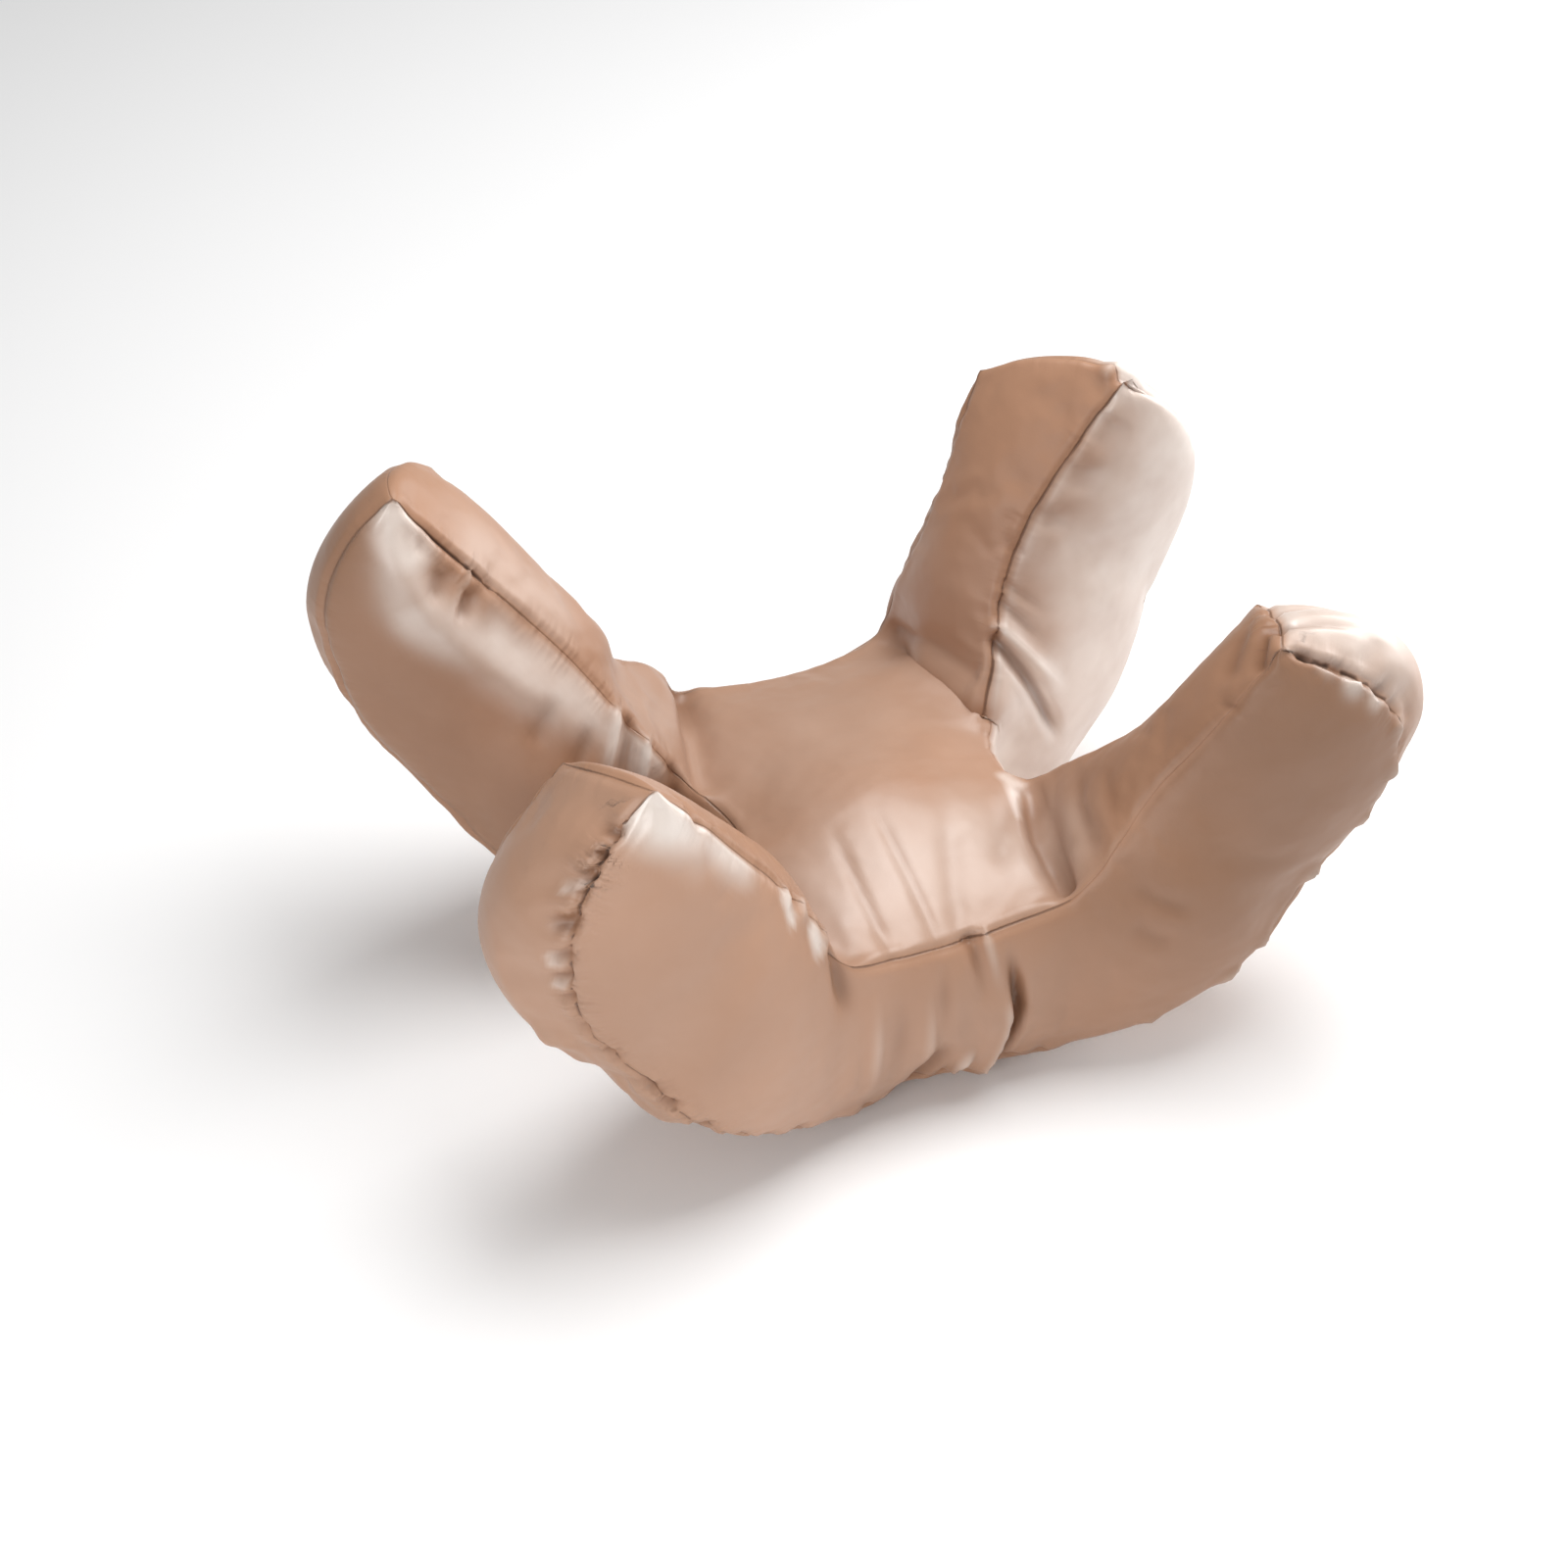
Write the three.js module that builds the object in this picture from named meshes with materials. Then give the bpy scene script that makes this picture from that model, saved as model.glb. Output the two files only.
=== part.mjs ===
// Anti-wrinkle pillow: one stuffed satin cover, a low pad with four arms that curl upwards round the head.
// Millimetres, +Z up. The origin is the middle of the resting face, +X is the right and -Y the front.
// The cover is sewn from a top panel, a bottom panel that laps over each arm's tip, and side panels
// between them. A panel is a grid of points here, and neighbours share the points of their seam.
import * as THREE from 'three';

const { clamp, degToRad, lerp, smoothstep } = THREE.MathUtils;
const UP = new THREE.Vector3(0, 0, 1);

// Pad between the arm roots: an eight-sided outline, flat underneath and crowned on top
const PAD = {
  endHalf: 56, // half the length of the front and back edges
  endOut: 109, // front and back edges from the middle
  sideHalf: 25, // half the length of the left and right edges
  sideOut: 76, // left and right edges from the middle
  topSeam: 117, // height of the upper seam
  lowSeam: 10, // height of the lower seam
  crown: 10, // rise of the top over its seam
  restShare: 0.7, // share of the underside that rests on the table
};

// Edges of the pad between two arm roots: bow pushes the seams out, dip lowers the upper seam between the
// arms and lift raises the lower one
const EDGES = [
  { name: 'front', from: 'frontLeft', to: 'frontRight', side: 'end',
    out: [0, -1], bow: -4, dip: 10, lift: 7 },
  { name: 'right', from: 'frontRight', to: 'backRight', side: 'flank',
    out: [1, 0], bow: -6, dip: 4, lift: 0 },
  { name: 'back', from: 'backRight', to: 'backLeft', side: 'end',
    out: [0, 1], bow: -4, dip: 10, lift: 7 },
  { name: 'left', from: 'backLeft', to: 'frontLeft', side: 'flank',
    out: [-1, 0], bow: -6, dip: 4, lift: 0 },
];

// Arms, one row each. x and y give the corner of the pad. Angles in degrees: aim is the plan angle from the
// X axis and turn its change up to the tip, rootRise and tipRise the slope at both ends, twist the roll of
// the tip. Lengths in mm: length along the inner face, depth from inner to outer face, half widths of the
// inner face at its waist and tip, slant and bow of the tip seam, dome of the outer face that laps over the
// tip. square is the tip's roundness seen from the side, 2 for round.
const ARMS = [
  { name: 'backLeft', x: -1, y: 1, aim: 18, turn: -2, rootRise: 53, tipRise: 54, twist: -5,
    length: 211, depth: 104, waistHalf: 25, tipHalf: 33, slant: -17, bow: 12, dome: 0, square: 2.1 },
  { name: 'frontLeft', x: -1, y: -1, aim: 22, turn: -22, rootRise: 61, tipRise: 48, twist: 29,
    length: 168, depth: 108, waistHalf: 25, tipHalf: 34, slant: 3, bow: 7, dome: 2, square: 2.2 },
  { name: 'frontRight', x: 1, y: -1, aim: 21, turn: -10, rootRise: 45, tipRise: 60, twist: 21,
    length: 156, depth: 106, waistHalf: 25, tipHalf: 33, slant: 8, bow: 5, dome: 16, square: 3.6 },
  { name: 'backRight', x: 1, y: 1, aim: 18, turn: -11, rootRise: 80, tipRise: 54, twist: 21,
    length: 173, depth: 114, waistHalf: 26, tipHalf: 34, slant: -19, bow: 11, dome: 4, square: 2.1 },
];

// How far the filling pushes each kind of panel out, and how full the bulge is (1 is a parabola)
const CROWN = { inner: 10, outer: 10, side: 20, root: 9, edge: 3, fullness: 0.8 };

// Shares of an arm's length where its form changes
const ARM_FORM = {
  leanFrom: 0.25, // the section is square to the arm from here on
  waist: 0.5, // narrowest place
  crownFrom: 0.35, // faces and sides are fully crowned from here on
  roundFrom: 0.44, // the outer face starts to curve towards the tip seam
  slantFrom: 0.45, // the tip seam's slant and bow begin to show
};
const TIP_BOW_POWER = 2.5;
const PATH_STEPS = 40; // steps along the arm's path to a section
const OUTER_SAMPLES = 200; // samples along the outer face, to space its rows evenly

// Number of cells: along an arm, across a face, down a side, along a long and a short edge, out from the pole
const CELLS = { along: 20, across: 10, down: 8, end: 14, flank: 6, rings: 7 };

// Folds pressed into the filled cover, or pushed out where the depth is negative. Both ends are shares along
// and across the named panel.
const ROOT_CREASE = { from: [0, 0.05], to: [0, 0.95], depth: 5, width: 8 };
const FOLDS = [
  { panel: 'front', from: [0.8, 0.3], to: [0.79, 0.9], depth: 9, width: 8 },
  { panel: 'front', from: [0.68, 0.6], to: [0.68, 1], depth: -5, width: 9 },
  { panel: 'front', from: [0.42, 0.15], to: [0.5, 0.85], depth: 3, width: 9 },
  { panel: 'backLeft.inner', from: [0.24, 0], to: [0.26, 0.6], depth: 10, width: 20 },
  { panel: 'backLeft.flank', from: [0.2, 0], to: [0.12, 0.4], depth: 5, width: 8 },
  { panel: 'backLeft.flank', from: [0.1, 0], to: [0.06, 0.3], depth: 4, width: 7 },
  { panel: 'backRight.flank', from: [0.05, 0.08], to: [0.22, 0.45], depth: 4, width: 12 },
  { panel: 'frontLeft.end', from: [0.12, 0], to: [0.02, 0.3], depth: 4, width: 8 },
];

const COVER = { color: 0xba947d, roughness: 0.38, metalness: 0 };

// Panels by name, and the triangles they are made of
const panels = new Map();
const triangles = [];

// Bulge of a filled panel at a share from edge to edge: none at the seams, all of it in the middle
function bulge(share) {
  return (4 * share * (1 - share)) ** CROWN.fullness;
}

function between(a, b, share) {
  return a.clone().lerp(b, share);
}

function addTriangle(a, b, c, turned) {
  triangles.push(turned ? [c, b, a] : [a, b, c]);
}

// Keeps a grid of points under a name and covers it with two triangles a cell
function addPanel(name, grid, turned) {
  panels.set(name, grid);
  for (let row = 0; row + 1 < grid.length; row += 1) {
    for (let col = 0; col + 1 < grid[row].length; col += 1) {
      const [a, b] = [grid[row][col], grid[row][col + 1]];
      const [d, c] = [grid[row + 1][col], grid[row + 1][col + 1]];
      addTriangle(a, b, c, turned);
      addTriangle(a, c, d, turned);
    }
  }
}

// Corners of the pad that an arm grows from: on the front or back edge, and on the left or right edge
function rootCorners(arm) {
  return {
    end: new THREE.Vector3(arm.x * PAD.endHalf, arm.y * PAD.endOut, PAD.topSeam),
    flank: new THREE.Vector3(arm.x * PAD.sideOut, arm.y * PAD.sideHalf, PAD.topSeam),
  };
}

// Plan heading and slope of an arm at a share of its length
function heading(arm, share) {
  const aim = degToRad(arm.aim + arm.turn * share);
  const outward = new THREE.Vector3(arm.x * Math.cos(aim), arm.y * Math.sin(aim), 0);
  const across = new THREE.Vector3(-arm.x * Math.sin(aim), arm.y * Math.cos(aim), 0);
  const rise = degToRad(lerp(arm.rootRise, arm.tipRise, share));
  const forward = outward.clone().multiplyScalar(Math.cos(rise)).addScaledVector(UP, Math.sin(rise));
  return { outward, across, rise, forward };
}

// Section of an arm: half is the vector from the inner face's middle to its seam on the front or back side,
// normal looks out of the inner face, depth is the thickness there, up grows from 0 at the root to 1 where
// the filling rounds the arm fully, crown is the same with the fall to nothing at the tip, and cap is the
// push of the outer face where it laps over the tip
function section(arm, share) {
  const { outward, across, rise, forward } = heading(arm, share);
  const lean = rise * smoothstep(share, 0, ARM_FORM.leanFrom);
  const normal = outward.clone().multiplyScalar(-Math.sin(lean)).addScaledVector(UP, Math.cos(lean));

  const corners = rootCorners(arm);
  const rootHalf = corners.end.clone().sub(corners.flank).multiplyScalar(0.5);
  const rolled = (half, angle) => across.clone().multiplyScalar(half * Math.cos(angle))
    .addScaledVector(normal, half * Math.sin(angle));
  const toWaist = smoothstep(share, 0, ARM_FORM.waist);
  const toTip = smoothstep(share, ARM_FORM.waist, 1);
  const tipPull = smoothstep(share, ARM_FORM.slantFrom, 1);
  const half = rootHalf.multiplyScalar(1 - toWaist)
    .addScaledVector(rolled(arm.waistHalf, degToRad(arm.twist) / 2), toWaist - toTip)
    .addScaledVector(rolled(arm.tipHalf, degToRad(arm.twist)), toTip)
    .addScaledVector(forward, arm.slant * tipPull);

  const pastRound = clamp((share - ARM_FORM.roundFrom) / (1 - ARM_FORM.roundFrom), 0, 1);
  const end = Math.max(0, 1 - pastRound ** arm.square) ** (1 / arm.square);
  const depth = lerp(PAD.topSeam - PAD.lowSeam, arm.depth, toWaist) * end;
  const up = smoothstep(share, 0, ARM_FORM.crownFrom);
  const bow = forward.clone().multiplyScalar(arm.bow * tipPull);
  const cap = forward.clone().multiplyScalar(arm.dome * bulge(end));
  return { centre: centreAt(arm, share), half, normal, depth, up, crown: up * end, bow, cap };
}

// Middle of the inner face at a share of the arm's length, along a path with the arm's slope and heading
function centreAt(arm, share) {
  const corners = rootCorners(arm);
  const centre = between(corners.end, corners.flank, 0.5);
  for (let step = 0; step < PATH_STEPS; step += 1) {
    const { forward } = heading(arm, share * (step + 0.5) / PATH_STEPS);
    centre.addScaledVector(forward, arm.length * share / PATH_STEPS);
  }
  return centre;
}

// Share of an arm's length at a sample of the outer face: half the samples lie along the straight stretch,
// and half round the tip at even angles
function outerShare(arm, sample) {
  const past = 2 * sample / OUTER_SAMPLES - 1;
  if (past < 0) return ARM_FORM.roundFrom * (1 + past);
  return lerp(ARM_FORM.roundFrom, 1, Math.sin(past * Math.PI / 2) ** (2 / arm.square));
}

// Shares of an arm's length that divide its outer face into rows of even length
function outerRows(arm) {
  const shares = Array.from({ length: OUTER_SAMPLES + 1 }, (_, sample) => outerShare(arm, sample));
  const points = shares.map((share) => {
    const at = section(arm, share);
    return at.centre.addScaledVector(at.normal, -at.depth);
  });
  const lengths = [0];
  points.slice(1).forEach((point, index) => lengths.push(lengths[index] + point.distanceTo(points[index])));
  return Array.from({ length: CELLS.along + 1 }, (_, row) => {
    const wanted = lengths.at(-1) * row / CELLS.along;
    return shares[lengths.findIndex((length) => length >= wanted)];
  });
}

// Inner or outer face of an arm: columns run from the front or back seam to the left or right seam
function facePanel(list, outer) {
  return list.map((at) => Array.from({ length: CELLS.across + 1 }, (_, col) => {
    const side = 1 - (2 * col) / CELLS.across;
    const full = bulge(col / CELLS.across) * at.crown;
    const point = at.centre.clone().addScaledVector(at.half, side);
    point.addScaledVector(at.bow, 1 - Math.abs(side) ** TIP_BOW_POWER);
    if (!outer) return point.addScaledVector(at.normal, CROWN.inner * full);
    point.addScaledVector(at.cap, bulge(col / CELLS.across));
    return point.addScaledVector(at.normal, -at.depth - CROWN.outer * full);
  }));
}

// Side of an arm between the inner and outer seam, a pointed leaf that ends at the tip's corner. At the root
// it bulges halfway to where the pad's edge looks, and further up straight away from the arm's middle.
function sidePanel(list, inner, outer, col, rootOut) {
  const fullDepth = PAD.topSeam - PAD.lowSeam;
  const towardsSeam = col === 0 ? 1 : -1;
  return list.map((at, row) => Array.from({ length: CELLS.down + 1 }, (_, down) => {
    const share = down / CELLS.down;
    const sideways = at.half.clone().setLength(towardsSeam);
    const atRoot = sideways.clone().add(rootOut).setLength(CROWN.root);
    const out = atRoot.lerp(sideways.multiplyScalar(CROWN.side), at.up);
    const [top, low] = [inner[row][col], outer[row][col]];
    const fullness = Math.min(top.distanceTo(low) / fullDepth, 1);
    return between(top, low, share).addScaledVector(out, fullness * bulge(share));
  }));
}

function addArm(arm) {
  const list = Array.from({ length: CELLS.along + 1 }, (_, row) => section(arm, row / CELLS.along));
  const inner = facePanel(list, false);
  const outer = facePanel(outerRows(arm).map((share) => section(arm, share)), true);
  outer[CELLS.along] = inner[CELLS.along];
  const mirrored = arm.x * arm.y < 0;
  addPanel(`${arm.name}.inner`, inner, mirrored);
  addPanel(`${arm.name}.outer`, outer, !mirrored);
  const endOut = new THREE.Vector3(0, arm.y, 0);
  const flankOut = new THREE.Vector3(arm.x, 0, 0);
  addPanel(`${arm.name}.end`, sidePanel(list, inner, outer, 0, endOut), !mirrored);
  addPanel(`${arm.name}.flank`, sidePanel(list, inner, outer, CELLS.across, flankOut), mirrored);
}

// Side panel between two arm roots, from the upper seam down to the lower one
function addEdge(edge) {
  const first = panels.get(`${edge.from}.${edge.side}`)[0];
  const last = panels.get(`${edge.to}.${edge.side}`)[0];
  const cells = CELLS[edge.side];
  const out = new THREE.Vector3(...edge.out, 0);
  const grid = [first];
  for (let row = 1; row < cells; row += 1) {
    const along = row / cells;
    const sag = 4 * along * (1 - along);
    grid.push(first.map((start, down) => {
      const share = down / CELLS.down;
      const push = edge.bow * sag + CROWN.edge * sag * bulge(share);
      const raise = lerp(-edge.dip, edge.lift, share) * sag;
      return between(start, last[down], along).addScaledVector(out, push).addScaledVector(UP, raise);
    }));
  }
  grid.push(last);
  addPanel(edge.name, grid, false);
}

// Closed row of points round the pad, on the upper or lower seam
function padOutline(face, column) {
  const roots = [['frontRight', false], ['backRight', true], ['backLeft', false], ['frontLeft', true]];
  return EDGES.flatMap((edge, index) => {
    const seam = panels.get(edge.name).map((row) => row.at(column));
    const [arm, backwards] = roots[index];
    const root = [...panels.get(`${arm}.${face}`)[0]];
    if (backwards) root.reverse();
    return [...seam.slice(0, -1), ...root.slice(0, -1)];
  });
}

// Point of an oval inside the pad's outline, in the direction of a point of that outline
function ovalPoint(rim) {
  const angle = Math.atan2(rim.y / PAD.endOut, rim.x / PAD.sideOut);
  return new THREE.Vector3(PAD.sideOut * Math.cos(angle), PAD.endOut * Math.sin(angle), rim.z);
}

// Top or underside of the pad: rings from the middle, oval at first, out to the outline, at the height that
// the rule gives
function addPad(name, outline, height, turned) {
  const rings = [];
  for (let ring = 1; ring < CELLS.rings; ring += 1) {
    const out = ring / CELLS.rings;
    rings.push(outline.map((rim) => {
      const point = between(ovalPoint(rim), rim, out ** 2).multiplyScalar(out);
      return point.setZ(height(point, rim, out));
    }));
  }
  rings.push(outline);
  const closed = rings.map((ring) => [...ring, ring[0]]);
  addPanel(name, closed, turned);
  const middle = new THREE.Vector3();
  middle.setZ(height(middle, outline[0], 0));
  outline.forEach((_, index) => addTriangle(middle, closed[0][index + 1], closed[0][index], turned));
}

// Dome over the pad, which falls to the seam at the pad's edges
function padTopHeight(point, rim, out) {
  const towardsEnd = clamp((Math.abs(point.y) - PAD.sideHalf) / (PAD.endOut - PAD.sideHalf), 0, 1);
  const halfWidth = lerp(PAD.sideOut, PAD.endHalf, towardsEnd);
  const dome = (1 - (point.x / halfWidth) ** 2) * (1 - (point.y / PAD.endOut) ** 2);
  return lerp(PAD.topSeam, rim.z, out ** 3) + PAD.crown * Math.max(0, dome);
}

// Flat where it rests, then rising to the lower seam
function padUnderHeight(point, rim, out) {
  return rim.z * (Math.max(0, out - PAD.restShare) / (1 - PAD.restShare)) ** 2;
}

// Point of a panel at shares along and across it
function panelPoint(name, [along, across]) {
  const grid = panels.get(name);
  const rowAt = along * (grid.length - 1);
  const colAt = across * (grid[0].length - 1);
  const row = Math.min(Math.floor(rowAt), grid.length - 2);
  const col = Math.min(Math.floor(colAt), grid[0].length - 2);
  const near = between(grid[row][col], grid[row][col + 1], colAt - col);
  const far = between(grid[row + 1][col], grid[row + 1][col + 1], colAt - col);
  return near.lerp(far, rowAt - row);
}

// One closed surface from the triangles: points at the same place become one, flat slivers are dropped
function coverGeometry() {
  const numbers = new Map();
  const points = [];
  const numberOf = (point) => {
    const key = point.toArray().map((value) => value.toFixed(3)).join(' ');
    if (!numbers.has(key)) numbers.set(key, points.push(point.clone()) - 1);
    return numbers.get(key);
  };
  const faces = triangles.map((corners) => corners.map(numberOf)).filter((face) => new Set(face).size === 3);
  const geometry = new THREE.BufferGeometry().setFromPoints(points);
  geometry.setIndex(faces.flat());
  geometry.computeVertexNormals();
  return geometry;
}

// Presses each fold into the cover as a soft trough along the line between its two ends
function pressFolds(geometry, folds) {
  const position = geometry.getAttribute('position');
  const normal = geometry.getAttribute('normal');
  const lines = folds.map((fold) => (
    { ...fold, line: new THREE.Line3(panelPoint(fold.panel, fold.from), panelPoint(fold.panel, fold.to)) }));
  const point = new THREE.Vector3();
  const inwards = new THREE.Vector3();
  const nearest = new THREE.Vector3();
  for (let index = 0; index < position.count; index += 1) {
    point.fromBufferAttribute(position, index);
    inwards.fromBufferAttribute(normal, index).negate();
    let press = 0;
    for (const { line, depth, width } of lines) {
      line.closestPointToPoint(point, true, nearest);
      press += depth * Math.exp(-((point.distanceTo(nearest) / width) ** 2));
    }
    if (point.z > 0) position.setXYZ(index, ...point.addScaledVector(inwards, press).toArray());
  }
  geometry.computeVertexNormals();
}

ARMS.forEach(addArm);
EDGES.forEach(addEdge);
addPad('padTop', padOutline('inner', 0), padTopHeight, true);
addPad('padUnder', padOutline('outer', -1), padUnderHeight, false);

const rootCreases = ARMS.map((arm) => ({ ...ROOT_CREASE, panel: `${arm.name}.inner` }));
const cover = coverGeometry();
pressFolds(cover, [...rootCreases, ...FOLDS]);

const pillow = new THREE.Mesh(cover, new THREE.MeshStandardMaterial(COVER));
pillow.name = 'pillow';

const part = new THREE.Group();
part.add(pillow);

export default part;
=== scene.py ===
"""Looks of the anti-wrinkle pillow: a satin cover with pinched seams over a soft filling.

The cover is laid out from the same named sizes as the solid, on finer panels. A cloth simulation blows it
up, then the folds, gathers and sewn seams are pressed into the cloth. Metres, +Z up, the origin in the middle
of the resting face, +X to the right and -Y to the front. A place on a panel is a pair of shares, along the
panel and across it.
"""

import logging
import math
from collections.abc import Iterator
from dataclasses import asdict, dataclass, field
from enum import Enum
from typing import Any

import bpy
import numpy as np
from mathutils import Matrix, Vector, noise


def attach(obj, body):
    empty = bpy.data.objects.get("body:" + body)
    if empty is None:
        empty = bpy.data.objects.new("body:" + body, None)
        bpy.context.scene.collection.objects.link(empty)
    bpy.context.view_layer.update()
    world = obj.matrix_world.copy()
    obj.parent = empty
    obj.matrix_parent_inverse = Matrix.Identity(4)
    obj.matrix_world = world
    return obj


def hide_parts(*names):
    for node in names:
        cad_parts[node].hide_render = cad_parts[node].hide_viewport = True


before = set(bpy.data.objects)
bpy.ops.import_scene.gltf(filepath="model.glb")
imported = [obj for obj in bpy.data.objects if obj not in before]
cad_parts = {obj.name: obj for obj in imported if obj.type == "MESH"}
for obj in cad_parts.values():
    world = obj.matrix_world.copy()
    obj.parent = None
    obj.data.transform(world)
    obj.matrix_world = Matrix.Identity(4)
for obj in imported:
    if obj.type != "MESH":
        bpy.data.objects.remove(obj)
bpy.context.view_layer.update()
LOG = logging.getLogger("pillow")
UP = np.array([0.0, 0.0, 1.0])
TINY = 1e-12
MM_IN_M = 1000.0

Color = tuple[float, float, float, float]
Pair = tuple[float, float]


class Cloth(Enum):
    """The pieces of satin that the cover is cut from."""

    TOP = 0
    UNDERSIDE = 1
    FRONT = 2
    RIGHT = 3
    BACK = 4
    LEFT = 5


class PaintLayer(Enum):
    """Layers of light and shade painted into the satin's colour, by the name that the cloth's points keep
    each under.
    """

    # Painted highlights; the same share also sets how much coat the satin has.
    SHINE = "nap"
    # Painted light and shade, added to the satin's drifting colour.
    TONE = "tone"


class Rim(Enum):
    """The rims of a panel."""

    FIRST = "first column"
    LAST = "last column"
    TIP = "last row"


def smooth(value: np.ndarray, low: float, high: float) -> np.ndarray:
    """Share from 0 at low to 1 at high, with a soft start and end.

    Args:
        value: Where to read the share.
        low: Value that gives 0.
        high: Value that gives 1.

    Returns:
        The shares, one for each value.
    """
    share = np.clip((value - low) / (high - low), 0.0, 1.0)
    return share * share * (3.0 - 2.0 * share)


def mix(a: np.ndarray | float, b: np.ndarray | float, share: np.ndarray | float) -> np.ndarray:
    """Straight blend from a to b."""
    return a + (b - a) * share


def arch(share: np.ndarray) -> np.ndarray:
    """Height of a low arch: 0 at both ends, 1 half way."""
    return 4.0 * share * (1.0 - share)


def column(values: np.ndarray) -> np.ndarray:
    """The same values with one more axis, to scale vectors by them."""
    return values[..., None]


def unit(vectors: np.ndarray) -> np.ndarray:
    """The vectors at length 1."""
    return vectors / np.maximum(np.linalg.norm(vectors, axis=-1, keepdims=True), TINY)


def patchy(places: np.ndarray, count: float) -> np.ndarray:
    """Soft chance from about -1 to 1 at each place, with a count of patches in a metre."""
    return np.array([noise.noise(Vector(place) * count) for place in places])


def line_distance(line: np.ndarray, points: np.ndarray) -> tuple[np.ndarray, np.ndarray]:
    """Distance of points to a line.

    Args:
        line: Points along the line.
        points: The points to measure.

    Returns:
        The distance of each point and the share along the line that is nearest to it.
    """
    best = np.full(len(points), np.inf)
    along = np.zeros(len(points))
    for step in range(len(line) - 1):
        start, way = line[step], line[step + 1] - line[step]
        share = np.clip(((points - start) @ way) / max(way @ way, TINY), 0.0, 1.0)
        away = np.linalg.norm(points - start - column(share) * way, axis=1)
        nearer = away < best
        best = np.where(nearer, away, best)
        along = np.where(nearer, (step + share) / (len(line) - 1), along)
    return best, along


def read_all(items: bpy.types.bpy_prop_collection, name: str, kind: type = int,
             width: int = 1) -> np.ndarray:
    """One property of all the items of a mesh.

    Args:
        items: The mesh's points, edges, corners or faces, or the values of an attribute.
        name: The property.
        kind: Kind of number, int or float.
        width: Count of numbers in one item's property.

    Returns:
        The numbers, in rows if an item has more than one.
    """
    values = np.zeros(len(items) * width, kind)
    items.foreach_get(name, values)
    return values.reshape(-1, width) if width > 1 else values


def rows(table: dict[str, tuple]) -> Iterator[tuple[str, Any]]:
    """Each row of a table, with the name of the panel that it is kept under."""
    return ((panel, row) for panel, group in table.items() for row in group)


@dataclass(frozen=True)
class Cells:
    """Cells along an arm, across a face, down a side, and along an end (front or back) or flank edge."""

    along: int = 44
    across: int = 20
    down: int = 16
    end: int = 30
    flank: int = 14


@dataclass(frozen=True)
class Crown:
    """How far the filling pushes each kind of panel out, and how full the bulge is."""

    inner: float = 0.010
    outer: float = 0.010
    side: float = 0.020
    root: float = 0.009
    edge: float = 0.003
    fullness: float = 0.8

    def bulge(self, share: np.ndarray) -> np.ndarray:
        """Push at a share from seam to seam: none at the seams, all of it in the middle."""
        return np.maximum(arch(share), 0.0) ** self.fullness


@dataclass(frozen=True)
class Pad:
    """The low pad between the arm roots."""

    end_half: float = 0.056
    end_out: float = 0.109
    side_half: float = 0.025
    side_out: float = 0.076
    top_seam: float = 0.117
    low_seam: float = 0.010
    crown: float = 0.010
    rest_share: float = 0.7
    seam_hold: int = 3

    @staticmethod
    def patch(front: np.ndarray, right: np.ndarray, back: np.ndarray, left: np.ndarray) -> np.ndarray:
        """Level patch between four rows of points that meet at its corners.

        Args:
            front: Points from left to right.
            right: Points from front to back.
            back: Points from left to right.
            left: Points from front to back.

        Returns:
            Rows of points from front to back.
        """
        u = np.linspace(0.0, 1.0, len(front))[None, :, None]
        v = np.linspace(0.0, 1.0, len(left))[:, None, None]
        corners = mix(mix(front[0], front[-1], u), mix(back[0], back[-1], u), v)
        return mix(front[None], back[None], v) + mix(left[:, None], right[:, None], u) - corners

    @staticmethod
    def outness(patch: np.ndarray) -> np.ndarray:
        """Share from the middle of a patch, 0, to its rim, 1."""
        down = np.abs(np.linspace(-1.0, 1.0, patch.shape[0]))[:, None]
        return np.maximum(down, np.abs(np.linspace(-1.0, 1.0, patch.shape[1])))

    def top_height(self, patch: np.ndarray) -> np.ndarray:
        """Heights of the dome over the pad.

        Args:
            patch: Points of the level patch inside the upper seam.

        Returns:
            A height for each point.
        """
        x, y, level = np.moveaxis(patch, -1, 0)
        to_end = np.clip((np.abs(y) - self.side_half) / (self.end_out - self.side_half), 0.0, 1.0)
        half = mix(self.side_out, self.end_half, to_end)
        dome = (1.0 - (x / half) ** 2) * (1.0 - (y / self.end_out) ** 2)
        flat = mix(self.top_seam, level, self.outness(patch) ** self.seam_hold)
        return flat + self.crown * np.maximum(dome, 0.0)

    def under_height(self, patch: np.ndarray) -> np.ndarray:
        """Heights of the underside: flat where it rests, then rising to the lower seam.

        Args:
            patch: Points of the level patch inside the lower seam.

        Returns:
            A height for each point.
        """
        past = np.maximum(0.0, self.outness(patch) - self.rest_share) / (1.0 - self.rest_share)
        return patch[..., 2] * past ** 2


@dataclass(frozen=True)
class Section:
    """Cross sections of an arm, one row each."""

    centre: np.ndarray
    half: np.ndarray
    normal: np.ndarray
    depth: np.ndarray
    up: np.ndarray
    crown: np.ndarray
    bow: np.ndarray
    cap: np.ndarray


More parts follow.
